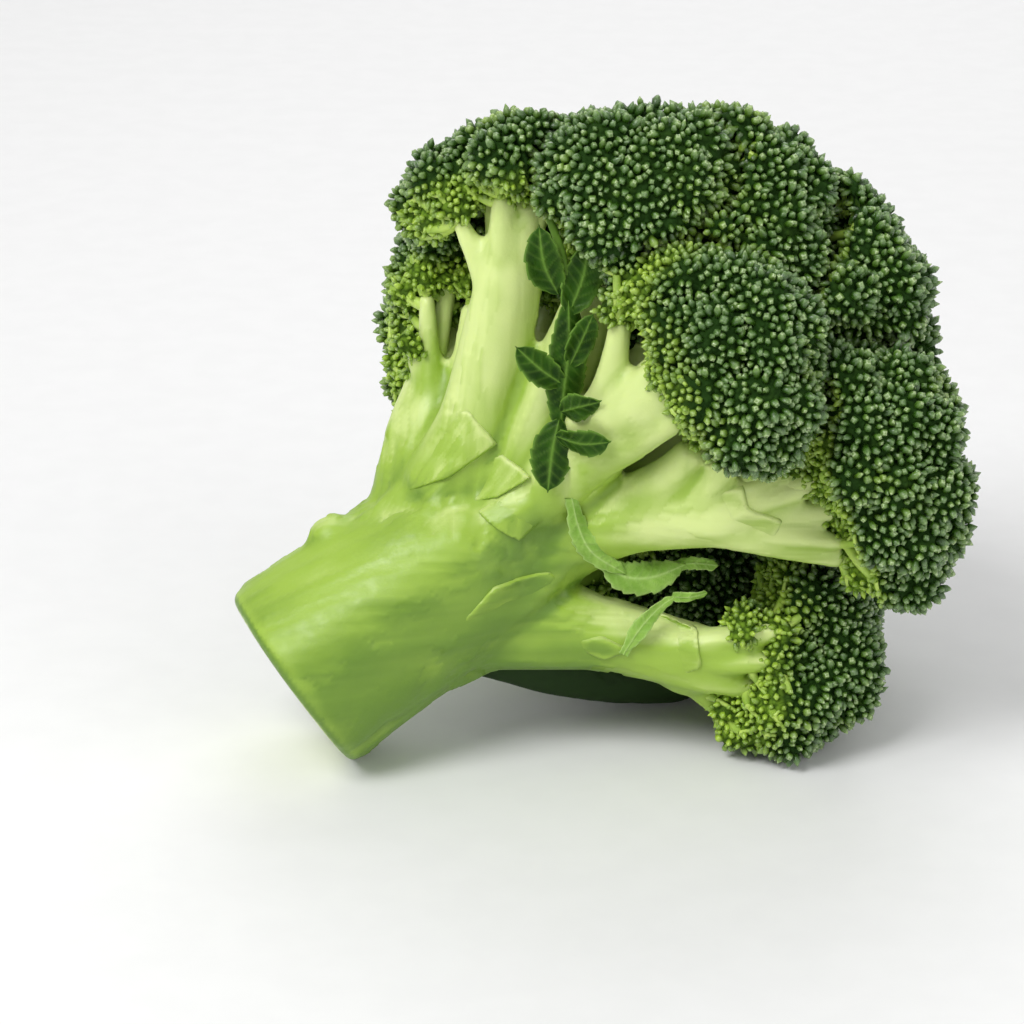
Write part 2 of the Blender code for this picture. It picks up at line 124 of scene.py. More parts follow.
STALK_ROUTE = ((-48, -12, 20, 22.5), (-28, -6, 33, 22), (-9, 0, 44, 21.5), (6, 3, 53, 16))
FLORETS = (
    Floret(
        "front",
        ((6, -6, 59, 9), (18, -14, 76, 8), (29, -22, 88, 7)),
        (
            (46, -30, 104, 16.5), (46, -34, 93, 16.5), (36, -30, 98, 12), (36, -24, 109, 13.5),
            (47, -32, 84, 10),
        ),
        shoots=(
            ((14, -17, 79, 4.5), (18.9, -19, 86, 4.0), (21, -20, 94, 3.2), (22.5, -20.5, 104, 2.4)),
            ((20, -21, 83, 4.2), (26, -23.5, 90, 3.4), (33, -27, 100, 2.3)),
            ((16, -15, 72, 5.5), (25, -21, 78, 4.0), (34, -27, 85, 2.6)),
        ),
        tufts=(
            (22, -20.5, 107.5, 4.2), (34, -27, 102, 4), (22, -20, 116, 6), (27.5, -22, 107, 5.5),
            (32, -24, 115, 6.5), (31, -27, 99, 4.5), (38, -30, 85, 4),
        ),
        youth=0.66,
    ),
    Floret(
        "right",
        ((6, -2, 48, 10.5), (24, -10, 57, 8), (44, -17, 61, 7.5)),
        ((76, -18, 80, 17), (78, -20, 65, 17.5), (79, -18, 51, 12.5), (66, -24, 88, 13), (72, -28, 74, 13)),
        shoots=(
            ((40, -18, 61, 4.6), (49, -19.5, 65, 4.0), (62, -21, 73, 2.8)),
            ((40, -19, 60.5, 4.0), (50, -20.5, 61.5, 3.0), (70, -21.5, 62.5, 2.2)),
            ((39, -18, 58.5, 4.4), (50, -19.5, 55.5, 3.3), (70, -19, 50.5, 2.4)),
            ((22, -9, 58, 6.5), (31, -15, 66, 4.8), (38, -20, 76, 3.2)),
            ((30, -13, 60, 5.0), (40, -19, 66, 3.6), (47, -23, 76, 2.4)),
            ((46, -20.5, 62.5, 3.2), (56, -23, 66.5, 2.4), (66, -25, 70, 1.8)),
            ((52, -20.5, 57, 2.8), (61, -22, 56.5, 2.2), (70, -22.5, 55.5, 1.7)),
        ),
        tufts=(
            (38.5, -20.5, 79, 4.4), (47, -23, 79, 4), (57, -23, 72, 3.2), (65, -22, 76, 4.6),
            (71, -22, 67.5, 4), (73, -22, 58, 4.6), (73, -20, 47.5, 4.6),
        ),
        bare=0.8,
        youth=0.5,
        fork_size=0.40,
    ),
    Floret(
        "lower",
        ((-7, -4, 33, 13), (18, -8, 29, 8), (40, -10, 24, 7)),
        ((63, 0, 32, 14), (66, -3, 20, 15), (57, -8, 16, 15), (51, -10, 33, 11), (48, -9, 14, 10.5)),
        shoots=(
            ((31, -10, 25, 5), (35, -11, 20, 3.5), (38, -11, 18, 3)),
            ((35, -12, 27, 4.6), (43, -14, 29, 3.8), (57, -14, 32, 2.4)),
            ((36, -12, 22, 4.2), (44, -14, 20, 3.0), (59, -13, 16, 2.0)),
            ((38, -10, 19, 3.2), (43, -10, 13, 2.2), (48, -9, 7.5, 1.6)),
            ((40, -14, 25.5, 3.0), (48, -16.5, 25, 2.2), (57, -17, 25.5, 1.7)),
        ),
        tufts=((49, -16, 32, 4.2), (47, -12, 11, 4.4), (55, -17, 25, 3.6), (58, -14, 34, 4)),
        bare=0.78,
        youth=0.6,
        fork_size=0.40,
    ),
    Floret(
        "top_centre",
        ((2, -2, 64, 9), (12, -5, 90, 6.5), (18, -7, 106, 6)),
        ((20, -8, 130, 15.5), (32, -8, 130, 15.5), (25, -14, 120, 15), (16, -5, 122, 11.5)),
        lumps=((13.5, 3, 109, 7),),
    ),
    Floret(
        "upper_left",
        ((-13, 0, 60, 11), (-7, 0, 76, 8.5), (-2, 0, 98, 7.5), (0, 0, 108, 7)),
        ((-4, 8, 127, 11), (1, 0, 131, 11.5), (10, -2, 132, 11.5), (5, 16, 122, 14)),
        shoots=(
            ((-3.5, -1, 100, 3.6), (-6, -0.5, 109, 2.9), (-10.5, 1.5, 119, 2.0)),
            ((-1.5, -1.5, 100, 4.4), (-1.5, -1.5, 112, 3.8), (-1, -1, 125, 2.8)),
            ((-0.5, -1.5, 100, 4.2), (2, -1.8, 112, 3.3), (5.5, -1.5, 123, 2.5)),
        ),
        tufts=((-11.5, 1.5, 121.5, 4.4), (-15, 6, 118, 4.5)),
        lumps=((-14, 10, 124, 8), (-17, 15, 116, 8)),
        bare=0.88,
        youth=0.6,
    ),
    Floret(
        "left",
        ((-20, 5, 56, 10), (-19, 10, 67, 8.5), (-16, 16, 77, 7)),
        (
            (-12, 22, 110, 11.5), (-15, 26, 97, 12.5), (-17, 30, 83, 12.5), (-18, 31, 71, 10),
            (-6, 34, 100, 14),
        ),
        shoots=(
            ((-18, 9, 70, 4.5), (-17.5, 12.5, 78, 3.4), (-21, 13.5, 85.5, 2.4)),
            ((-17.5, 9, 68, 5.0), (-17.5, 12, 82, 2.9), (-18, 14, 99, 1.9)),
            ((-15.5, 8, 68, 5.4), (-11, 10.5, 80, 3.2), (-8.5, 13, 97, 2.1)),
        ),
        tufts=(
            (-21.5, 12.5, 88, 4.2), (-22, 15, 80, 3.5), (-17.5, 16, 102, 4.6), (-23, 18, 96, 4),
            (-9, 15, 100, 4.2),
        ),
        bare=0.92,
        youth=0.85,
        fork_size=0.34,
    ),
    Floret(
        "top",
        ((10, 6, 61, 8), (29, 3, 88, 6), (37, 1, 100, 5.5)),
        ((42, -2, 129, 15.5), (52, 0, 123, 15.5), (40, -12, 119, 13), (50, -10, 115, 14)),
    ),
    Floret(
        "upper_right",
        ((16, 7, 56, 8), (42, 4, 78, 6), (52, 3, 88, 5.5)),
        ((65, 5, 114, 14.5), (71, 0, 104, 16.5), (64, -8, 105, 14), (76, 6, 92, 14)),
    ),
    Floret(
        "far_right",
        ((18, 16, 44, 7), (46, 22, 55, 5.5), (60, 23, 60, 5)),
        ((80, 18, 77, 13), (82, 28, 66, 15), (84, 10, 66, 12), (83, 6, 52, 13), (79, 16, 46, 13)),
    ),
    Floret(
        "under",
        ((-7, 8, 22, 9), (14, 11, 11, 6), (36, 16, 7, 5.5)),
        ((66, 34, 17, 16), (57, 32, 16, 14), (70, 22, 22, 12), (60, 44, 26, 13)),
    ),
    Floret(
        "centre_top",
        ((8, 12, 60, 7), (17, 15, 84, 5.5), (22, 17, 98, 5)),
        ((22, 12, 124, 13), (36, 16, 122, 15), (50, 18, 116, 14), (24, 24, 118, 13)),
        lumps=((19, 8, 98, 7), (8, 12, 101, 7), (27, 5, 96, 8)),
    ),
    Floret(
        "centre_right",
        ((18, 13, 50, 7), (43, 18, 69, 5.5), (53, 20, 78, 5)),
        ((72, 22, 97, 14), (62, 20, 108, 14), (79, 10, 86, 12), (73, 34, 86, 13)),
    ),
    Floret(
        "back_upper_left",
        ((-3, 14, 55, 8), (3, 24, 72, 6.5), (6, 30, 84, 6)),
        ((6, 42, 107, 18), (-3, 46, 92, 16), (16, 34, 117, 15), (16, 52, 96, 14)),
    ),
    Floret(
        "back_top",
        ((11, 18, 54, 8), (26, 28, 68, 6.5), (34, 34, 78, 6)),
        ((37, 42, 106, 20), (52, 48, 93, 18), (60, 32, 103, 15), (38, 58, 90, 14)),
    ),
    Floret(
        "back_right",
        ((15, 20, 42, 8), (36, 34, 45, 6.5), (46, 41, 46, 6)),
        ((68, 52, 62, 18), (74, 48, 46, 16), (64, 58, 38, 15), (58, 64, 56, 13), (70, 46, 77, 13)),
    ),
    Floret(
        "back_left",
        ((2, 20, 42, 8), (9, 36, 46, 6.5), (12, 44, 48, 6)),
        ((6, 62, 66, 17), (16, 66, 44, 16), (34, 66, 58, 17), (24, 64, 74, 14), (44, 60, 70, 13)),
    ),
    Floret(
        "back_low",
        ((6, 20, 33, 8), (22, 38, 26, 6.5), (29, 45, 24, 6)),
        ((34, 62, 28, 16), (46, 58, 20, 15), (24, 56, 18, 13), (57, 57, 28, 11)),
        lumps=(
            (36, 38, 26, 10), (45, 34, 29, 10), (24, 32, 20, 9), (32, 36, 16, 9), (15, 27, 22, 7),
            (30, 34, 38, 8), (43, 30, 18, 8),
        ),
    ),
)

# Where leaves were cut away, and where one stalk's skin folds over the next: corners as (x, y, z, lift).
FLAPS = (
    (
        (-28, -4, 58, -1), (-13, -10, 66, 1.5), (-3.4, -9.6, 73.2, 2.2), (-9, -8.2, 80, 0.4),
        (-19, -1, 81, -2),
    ),
    (
        (-14, -9.5, 59, -1.5), (-3, -13, 62.5, 1.2), (4.4, -14, 67.5, 2.2), (-2, -9.8, 71, 0.3),
        (-11, -8.5, 70, -2),
    ),
    ((11, -15.4, 30, -0.6), (19, -15.6, 31.5, 1.1), (25.5, -15.3, 28.5, 0.9), (19, -15.3, 26, 0.8)),
    (
        (-11, -23, 38, 0), (-4, -20, 45.4, 1), (8, -15, 46.3, 0.6), (14, -11.5, 40, -2),
        (10, -16, 31, -2), (-2, -16, 28, -2),
    ),
    ((-7.3, -14, 59.7, 0.8), (1.7, -16, 54, 1), (10.5, -16.6, 62, -1.6), (6, -16, 69, -2)),
    (
        (27, -18, 55, -2), (37, -22, 66, -1.6), (48, -23.7, 68, 1.2), (49, -24, 64.5, 1.2),
        (56.3, -23.2, 61, 0.8), (54, -22.6, 54, -0.6),
    ),
    (
        (24, -16, 28, -2), (30.5, -12.5, 35, -1.6), (39.3, -16, 32.8, 1.1), (40.3, -17, 25, 1),
        (34, -15, 20, -1),
    ),
)
# No tube starts out along this direction, so the first ring of each can be turned by it.
TUBE_UP = (0.0, 0.31, 0.95)
# Where the branches part, painted shade makes the flesh greener: the middle of that place and its radius.
SHADE_HEART = (6, -14, 51, 22)
SPRIG_MIDRIB = (
    (8, -12.5, 124, 0.8),
    (11, -14.5, 115, 0.9),
    (12, -15.5, 105, 0.9),
    (11, -16.5, 90, 0.9),
    (9.5, -17.5, 77, 0.7),
    (8, -19, 69, 0.5),
)
SPRIG_BLADES = (
    Blade(((12, -16, 107), (12, -17, 98), (11, -17.5, 88), (10, -18, 78)), 3.9),
    Blade(((10, -15, 108), (7, -16.5, 115), (6, -15.5, 123)), 3.6),
    Blade(((12, -16, 104), (15, -15.5, 112), (16, -14.5, 119)), 3.8),
    Blade(((11, -17, 89), (6, -18, 93), (1, -18.5, 98)), 3.1, (0.8, 0.2, 1)),
    Blade(((12, -17, 93), (15, -18, 100), (17, -18.5, 105)), 2.8),
    Blade(((10.5, -19, 84), (14, -23, 86.5), (18.5, -25.5, 88.5)), 2.9, (0.3, 0.3, -1), 0.1),
    Blade(((9.5, -20, 79), (14.5, -24.5, 79), (20.5, -26.5, 80)), 3.1, (0, 0.3, -1), 0.1),
    Blade(((10, -18.5, 82), (8.5, -20, 75.5), (7.5, -20.5, 66.5)), 4.2),
)
UPPER_BRACT = (
    Blade(
        ((12.5, -17, 64), (14, -16.5, 57), (17, -16, 51), (24, -13, 45)), 2.2, (1, 0.2, 0.6),
        stalk_share=0.6,
    ),
    Blade(
        ((19, -13, 47.5), (24, -12.5, 44), (30, -11.5, 43.5), (37, -9.5, 45.5)), 3.3, (0, 0.4, 1),
        stalk_share=0.4,
    ),
    Blade(((33, -10, 44.5), (38, -9, 45.5), (44, -8, 44.5)), 1.3, (0, 0.4, 1), stalk_share=0.9),
)
LOWER_BRACT = (
    Blade(
        ((23.5, -17, 28), (27, -17, 34), (31, -15.5, 38), (34.5, -14, 40)), 1.7, (1, 0, -0.8),
        stalk_share=0.6,
    ),
    Blade(((34, -14, 40), (38, -13, 39.5), (41.5, -12, 40)), 1.0, (0.2, 0, -1), stalk_share=0.9),
)


# ---------------------------------------------------------------- points, routes and meshes


def laid(points: list) -> np.ndarray:
    """Points of the modelled head, laid on the ground as the solids are.

    Args:
        points: points as (x, y, z) in millimetres.

    Returns:
        The same points in metres, one row each.
    """
    turn = Matrix.Rotation(math.radians(LAY_DEGREES), 3, Vector(LAY_AXIS))
    spots = np.array(points, float).reshape(-1, 3) @ np.array(turn).T
    return (spots + np.array(LAY_SHIFT)) * MM


def unit(vectors: np.ndarray) -> np.ndarray:
    """The vectors with their lengths made one."""
    length = np.linalg.norm(vectors, axis=-1, keepdims=True)
    return vectors / np.maximum(length, 1e-12)


def smoothstep(low: float, high: float, values: np.ndarray) -> np.ndarray:
    """A smooth rise from 0 at low to 1 at high."""
    t = np.clip((values - low) / (high - low), 0.0, 1.0)
    return t * t * (3 - 2 * t)


def curved(route: np.ndarray, step: float) -> np.ndarray:
    """A smooth line through the rows of a route.

    Args:
        route: rows of (x, y, z, radius), in metres.
        step: the distance between the points that are returned, in metres.

    Returns:
        Rows of (x, y, z, radius) along the line.
    """
    rows = np.array(route, float)
    padded = np.vstack([2 * rows[0] - rows[1], rows, 2 * rows[-1] - rows[-2]])
    out = []
    for i in range(1, len(padded) - 2):
        a, b, c, d = padded[i - 1 : i + 3]
        count = max(2, int(round(np.linalg.norm(c[:3] - b[:3]) / step)))
        t = np.linspace(0, 1, count, endpoint=False)[:, None]
        bend = (2 * b + (c - a) * t + (2 * a - 5 * b + 4 * c - d) * t**2 + (3 * b - a - 3 * c + d) * t**3) / 2
        bend[:, 3] = (b[3] + (c[3] - b[3]) * t[:, 0])
        out.append(bend)
    out.append(rows[-1:])
    return np.vstack(out)


def laid_route(route: tuple, step: float) -> np.ndarray:
    """A route in millimetres, made smooth and laid on the ground, in metres.

    Args:
        route: rows of (x, y, z, radius), in millimetres.
        step: the distance between the new points, in metres.

    Returns:
        Rows of (x, y, z, radius), in metres.
    """
    rows = np.array(route, float)
    spots = laid(rows[:, :3])
    return curved(np.column_stack([spots, rows[:, 3] * MM]), step)


def mesh_of(name: str, points: np.ndarray, faces: list) -> bpy.types.Mesh:
    """A mesh with these points and faces, smooth shaded.

    Args:
        name: the mesh's name.
        points: its points, one row each.
        faces: the point numbers of each face.

    Returns:
        The mesh.
    """
    mesh = bpy.data.meshes.new(name)
    mesh.from_pydata([tuple(point) for point in points], [], faces)
    mesh.shade_smooth()
    return mesh


def shown(name: str, mesh: bpy.types.Mesh) -> bpy.types.Object:
    """A new object in the scene that holds the mesh.

    Args:
        name: the object's name.
        mesh: the mesh.

    Returns:
        The object.
    """
    obj = bpy.data.objects.new(name, mesh)
    bpy.context.scene.collection.objects.link(obj)
    return obj


def hidden(name: str, mesh: bpy.types.Mesh) -> bpy.types.Object:
    """An object that only feeds a modifier and is removed afterwards.

    Args:
        name: the object's name.
        mesh: the mesh.

    Returns:
        The object.
    """
    obj = bpy.data.objects.new(name, mesh)
    bpy.context.scene.collection.objects.link(obj)
    obj.hide_render = True
    return obj


def settled(obj: bpy.types.Object) -> bpy.types.Object:
    """The object with its modifiers applied to its mesh.

    Args:
        obj: the object, whose modifiers are removed.

    Returns:
        The same object.
    """
    bpy.context.view_layer.update()
    graph = bpy.context.evaluated_depsgraph_get()
    mesh = bpy.data.meshes.new_from_object(obj.evaluated_get(graph))
    obj.modifiers.clear()
    obj.data = mesh
    obj.data.shade_smooth()
    return obj


def remeshed(obj: bpy.types.Object, voxel: float) -> None:
    """Adds a modifier that wraps an object in one even skin, as fine as the voxel."""
    modifier = obj.modifiers.new("remesh", "REMESH")
    modifier.mode = "VOXEL"
    modifier.voxel_size = voxel


def smoothed(obj: bpy.types.Object, times: int) -> None:
    """Adds a modifier that smooths an object this many times over."""
    modifier = obj.modifiers.new("smooth", "SMOOTH")
    modifier.factor = 0.5
    modifier.iterations = times


def dressed(obj: bpy.types.Object, material: bpy.types.Material) -> bpy.types.Object:
    """The object with this as its only material."""
    obj.data.materials.clear()
    obj.data.materials.append(material)
    return obj


def joined(meshes: list) -> bpy.types.Mesh:
    """One mesh that holds all the others.

    Args:
        meshes: the meshes to copy.

    Returns:
        The new mesh.
    """
    work = bmesh.new()
    for mesh in meshes:
        work.from_mesh(mesh)
    out = bpy.data.meshes.new("joined")
    work.to_mesh(out)
    work.free()
    return out


def positions(mesh: bpy.types.Mesh) -> np.ndarray:
    """The points of a mesh, one row each."""
    out = np.empty(len(mesh.vertices) * 3)
    mesh.vertices.foreach_get("co", out)
    return out.reshape(-1, 3)


def normals(mesh: bpy.types.Mesh) -> np.ndarray:
    """The normals at the points of a mesh, one row each."""
    out = np.empty(len(mesh.vertices) * 3)
    mesh.vertices.foreach_get("normal", out)
    return out.reshape(-1, 3)


def edges(mesh: bpy.types.Mesh) -> np.ndarray:
    """The two point numbers of each edge of a mesh."""
    out = np.empty(len(mesh.edges) * 2, np.int32)
    mesh.edges.foreach_get("vertices", out)
    return out.reshape(-1, 2)


def move_points(mesh: bpy.types.Mesh, points: np.ndarray) -> None:
    """Puts the points of a mesh at new places."""
    mesh.vertices.foreach_set("co", points.astype(np.float32).ravel())
    mesh.update()


def store(mesh: bpy.types.Mesh, name: str, values: np.ndarray) -> None:
    """Keeps one number at each point of a mesh, for the materials to read."""
    layer = mesh.attributes.get(name) or mesh.attributes.new(name, "FLOAT", "POINT")
    layer.data.foreach_set("value", values.astype(np.float32))


def kept(mesh: bpy.types.Mesh, name: str) -> np.ndarray:
    """The number kept at each point of a mesh under this name."""
    out = np.empty(len(mesh.vertices))
    mesh.attributes[name].data.foreach_get("value", out)
    return out


def tree_of(spots: np.ndarray) -> KDTree:
    """The points in a tree that finds the nearest of them.

    Args:
        spots: the points, one row each.

    Returns:
        The tree, which knows them by their row.
    """
    tree = KDTree(len(spots))
    for number, spot in enumerate(spots):
        tree.insert(spot, number)
    tree.balance()
    return tree


def even_pull(mesh: bpy.types.Mesh) -> np.ndarray:
    """The same weight for every edge of a mesh, with which spread averages all ways alike."""
    return np.full(len(mesh.edges), 0.5)


def spread(mesh: bpy.types.Mesh, values: np.ndarray, weights: np.ndarray, times: int) -> np.ndarray:
    """Averages values with those of their neighbours, over and over.

    Args:
        mesh: the mesh whose edges join neighbours.
        values: one number at each point.
        weights: how strongly each edge carries a value across.
        times: how often the averaging is repeated.

    Returns:
        The averaged values.
    """
    a, b = edges(mesh).T
    count = len(values)
    total = 1.0 + np.bincount(a, weights, count) + np.bincount(b, weights, count)
    for _ in range(times):
        near = np.bincount(a, weights * values[b], count) + np.bincount(b, weights * values[a], count)
        values = (values + near) / total
    return values


def levelled(values: np.ndarray, peak: float = 2.5) -> np.ndarray:
    """Values shifted and scaled to a mean of 0 and a spread of 1, and held below a peak."""
    return np.clip((values - values.mean()) / max(values.std(), 1e-9), -peak, peak)


def wall(rings: int, sides: int) -> list:
    """The faces between rings of points that follow one another.

    Args:
        rings: how many rings there are.
        sides: how many points a ring has.

    Returns:
        The point numbers of each face.
    """
    faces = []
    for low in range(0, (rings - 1) * sides, sides):
        for i in range(sides):
            j = (i + 1) % sides
            faces.append((low + i, low + j, low + sides + j, low + sides + i))
    return faces


def tube(route: np.ndarray, sides: int, fluting: float = 0.0, phase: float = 0.0) -> bpy.types.Mesh:
    """A closed tube along a smooth route.

    Args:
        route: rows of (x, y, z, radius), in metres.
        sides: how many sides it has.
        fluting: how deep its lengthwise hollows are, as a share of the radius.
        phase: where round the tube the hollows begin, in radians.

    Returns:
        The tube's mesh.
    """
    spots, radii = route[:, :3], route[:, 3]
    ahead = unit(np.gradient(spots, axis=0))
    side = unit(np.cross(ahead[0], TUBE_UP))
    points = []
    angles = np.linspace(0, 2 * math.pi, sides, endpoint=False)
    broad, narrow = np.cos(3 * angles + phase), np.cos(5 * angles + 2.1 * phase)
    swell = 1 + fluting * (0.6 * broad + 0.4 * narrow)
    for spot, radius, direction in zip(spots, radii, ahead):
        side = unit(side - direction * side.dot(direction))
        other = np.cross(direction, side)
        ring = np.cos(angles)[:, None] * side + np.sin(angles)[:, None] * other
        points.append(spot + ring * (radius * swell)[:, None])
    count = len(spots)
    ends = [tuple(range(sides))[::-1], tuple((count - 1) * sides + i for i in range(sides))]
    return mesh_of("tube", np.vstack(points), ends + wall(count, sides))


# ---------------------------------------------------------------- materials


class Tree:
    """A node tree, with short calls that add, set and join its nodes."""

    def __init__(self, tree: bpy.types.NodeTree) -> None:
        """Takes the tree to build on."""
        self.tree = tree

    def node(self, kind: str, **settings: str) -> bpy.types.Node:
        """A new node of this kind, with these settings.

        Args:
            kind: the node's type.
            settings: its properties, by name.

        Returns:
            The node.
        """
        node = self.tree.nodes.new(kind)
        for key, value in settings.items():
            setattr(node, key, value)
        return node

    def link(self, source: Socket, target: Socket) -> None:
        """Joins two sockets."""
        self.tree.links.new(source, target)

    def feed(self, target: Socket, value: Value) -> None:
        """Links a socket, or sets it where the value is a plain number or colour.

        Args:
            target: the input socket.
            value: the socket, number or colour.
        """
        if isinstance(value, Socket):
            self.link(value, target)
        elif target.type == "RGBA":
            target.default_value = (*value, 1.0)
        else:
            target.default_value = value

    def math(self, operation: str, a: Value, b: Value = 0.0, clamp: bool = False) -> Socket:
        """A sum, product or other operation on one or two numbers.

        Args:
            operation: what it does.
            a: the first number.
            b: the second number.
            clamp: whether the result is held from 0 to 1.

        Returns:
            The result.
        """
        node = self.node("ShaderNodeMath", operation=operation, use_clamp=clamp)
        self.feed(node.inputs[0], a)
        self.feed(node.inputs[1], b)
        return node.outputs[0]


class Shader(Tree):
    """A material's node tree, with short calls for the nodes that the finishes share."""

    def __init__(self, name: str) -> None:
        """Starts a material of this name with one Principled shader.

        Args:
            name: the material's name.
        """
        self.material = bpy.data.materials.new(name)
        self.material.use_nodes = True
        super().__init__(self.material.node_tree)
        self.tree.nodes.clear()
        self.skin = self.node("ShaderNodeBsdfPrincipled")
        self.link(self.skin.outputs["BSDF"], self.node("ShaderNodeOutputMaterial").inputs["Surface"])
        self.place = self.node("ShaderNodeTexCoord").outputs["Object"]

    def attribute(self, name: str) -> Socket:
        """A number kept on the mesh."""
        return self.node("ShaderNodeAttribute", attribute_name=name).outputs["Fac"]

    def noise(self, scale: float, detail: float = 3.0, roughness: float = 0.5) -> Socket:
        """Soft noise from 0 to 1.

        Args:
            scale: how fine it is, in repeats to the metre.
            detail: how many finer layers it has.
            roughness: how strong the finer layers are.

        Returns:
            The noise.
        """
        node = self.node("ShaderNodeTexNoise")
        self.link(self.place, node.inputs["Vector"])
        for key, value in (("Scale", scale), ("Detail", detail), ("Roughness", roughness)):
            node.inputs[key].default_value = value
        return node.outputs["Fac"]

    def cells(self, scale: float) -> Socket:
        """The distance to the nearest of many scattered points.

        Args:
            scale: how fine they are, in repeats to the metre.

        Returns:
            The distance.
        """
        node = self.node("ShaderNodeTexVoronoi", feature="F1")
        self.link(self.place, node.inputs["Vector"])
        node.inputs["Scale"].default_value = scale
        return node.outputs["Distance"]

    def times(self, a: Value, b: Value) -> Socket:
        """The product of two numbers."""
        return self.math("MULTIPLY", a, b)

    def plus(self, a: Value, b: Value, clamp: bool = False) -> Socket:
        """The sum of two numbers, which the clamp holds from 0 to 1."""
        return self.math("ADD", a, b, clamp)

    def wobble(self, value: Value, size: float) -> Socket:
        """A value from 0 to 1 turned into one to either side of 0, this large."""
        return self.times(self.math("SUBTRACT", value, 0.5), size)

    def rise(self, value: Value, low: float, high: float, start: float = 0.0, end: float = 1.0) -> Socket:
        """A smooth change of a number.

        Args:
            value: the number that it follows.
            low: the value where the change begins.
            high: the value where it ends.
            start: the result up to low.
            end: the result from high on.

        Returns:
            The result.
        """
        node = self.node("ShaderNodeMapRange", interpolation_type="SMOOTHSTEP")
        self.feed(node.inputs["Value"], value)
        for key, number in zip(("From Min", "From Max", "To Min", "To Max"), (low, high, start, end)):
            node.inputs[key].default_value = number
        return node.outputs["Result"]

    def mix(self, share: Value, a: Value, b: Value, blend: str = "MIX") -> Socket:
        """A blend of two colours, all of the second where the share is 1.

        Args:
            share: how much of the second colour there is.
            a: the first colour.
            b: the second colour.
            blend: how the second is laid over the first.

        Returns:
            The blended colour.
        """
        node = self.node("ShaderNodeMix", data_type="RGBA", blend_type=blend)
        self.feed(node.inputs["Factor"], share)
        # The colours are the node's sockets 6, 7 and 2; its number and vector sockets have the same names.
        self.feed(node.inputs[6], a)
        self.feed(node.inputs[7], b)
        return node.outputs[2]

    def bump(self, height: Value, strength: float, distance: float) -> Socket:
        """A normal that follows a height, with the distance in metres.

        Args:
            height: the height, from 0 to 1.
            strength: how strongly it shows.
            distance: how high 1 is, in metres.

        Returns:
            The normal.
        """
        node = self.node("ShaderNodeBump")
        node.inputs["Strength"].default_value = strength
        node.inputs["Distance"].default_value = distance
        self.feed(node.inputs["Height"], height)
        return node.outputs["Normal"]

    def finish(
        self, colour: Value, roughness: Value, normal: Optional[Socket] = None, **settings: Value
    ) -> bpy.types.Material:
        """Feeds the Principled shader.

        Args:
            colour: its base colour, as a socket or three numbers.
            roughness: its roughness, as a socket or a number.
            normal: the normal, where it has a bump.
            settings: other inputs of the shader, by name with _ for a space.

        Returns:
            The material.
        """
        self.feed(self.skin.inputs["Base Color"], colour)
        self.feed(self.skin.inputs["Roughness"], roughness)
        if normal is not None:
            self.link(normal, self.skin.inputs["Normal"])
        for key, value in settings.items():
            self.skin.inputs[key.replace("_", " ")].default_value = value
        return self.material


@dataclass(frozen=True)
class FleshFinish:
    """The waxy skin of the stalk and its branches: pale on ridges, greener low down and in creases, where the
    green is partly painted shade; painted light makes its upper side paler, and painted shade makes its
    underside, the middle of the trunk and the stem below darker.
    """

    pale: Colour = (0.68, 0.80, 0.30)
    mid: Colour = (0.33, 0.50, 0.055)
    green: Colour = (0.13, 0.25, 0.018)
    # deep is painted shade, laid on the stem in the shade below.
    deep: Colour = (0.012, 0.040, 0.002)
    pith: tuple[Colour, Colour] = ((0.72, 0.80, 0.42), (0.60, 0.72, 0.30))
    wood: tuple[Colour, Colour] = ((0.46, 0.60, 0.20), (0.62, 0.72, 0.34))

    def made(self) -> bpy.types.Material:
        """The material."""
        s = Shader("stalk_flesh")
        fine, shaded = s.attribute("fine_streak"), s.attribute("shaded")
        share = s.plus(s.attribute("green"), s.times(s.attribute("streak"), 0.06))
        share = s.plus(share, s.times(fine, 0.03))
        share = s.plus(share, s.wobble(s.noise(60.0, 4.0), 0.35), clamp=True)
        colour = s.mix(s.rise(share, 0.0, 0.5), self.pale, self.mid)
        colour = s.mix(s.rise(share, 0.45, 1.0), colour, self.green)
        # In the skin's hollows this green is partly the stalk's own colour and partly painted shade.
        colour = s.mix(s.math("MULTIPLY", s.attribute("crease"), 0.7, clamp=True), colour, self.green)
        # Painted shade: the stem below is darkened towards deep.
        colour = self.cut_face(s, s.mix(shaded, colour, self.deep))
        grain = s.noise(1500.0, 2.0, 0.6)
        height = s.plus(s.times(fine, 0.22), s.times(grain, 0.35))
        roughness = s.rise(s.noise(260.0, 3.0), 0.3, 0.7, 0.38, 0.55)
        return s.finish(
            colour,
            s.math("MAXIMUM", roughness, s.times(shaded, 0.9)),
            s.bump(height, 0.3, 0.4 * MM),
            Subsurface_Weight=0.2,
            Subsurface_Radius=(0.9, 1.0, 0.3),
            Subsurface_Scale=2 * MM,
            Specular_IOR_Level=0.5,
            Coat_Weight=0.06,
            Coat_Roughness=0.25,
        )

    def cut_face(self, s: Shader, colour: Socket) -> Socket:
        """The colour with the pith, the woody ring and the rim of the cut end laid over it.

        Args:
            s: the material's tree.
            colour: the colour of the skin.

        Returns:
            The colour of the skin and the cut end.
        """
        reach = s.attribute("cut_reach")
        pith = s.mix(s.rise(s.noise(900.0, 3.0), 0.35, 0.7), *self.pith)
        wood = s.mix(s.rise(s.cells(1100.0), 0.1, 0.5), *self.wood)
        face = s.mix(s.rise(reach, 0.66, 0.78), pith, wood)
        face = s.mix(s.rise(reach, 0.86, 0.95), face, self.green)
        return s.mix(s.attribute("cut"), colour, face)


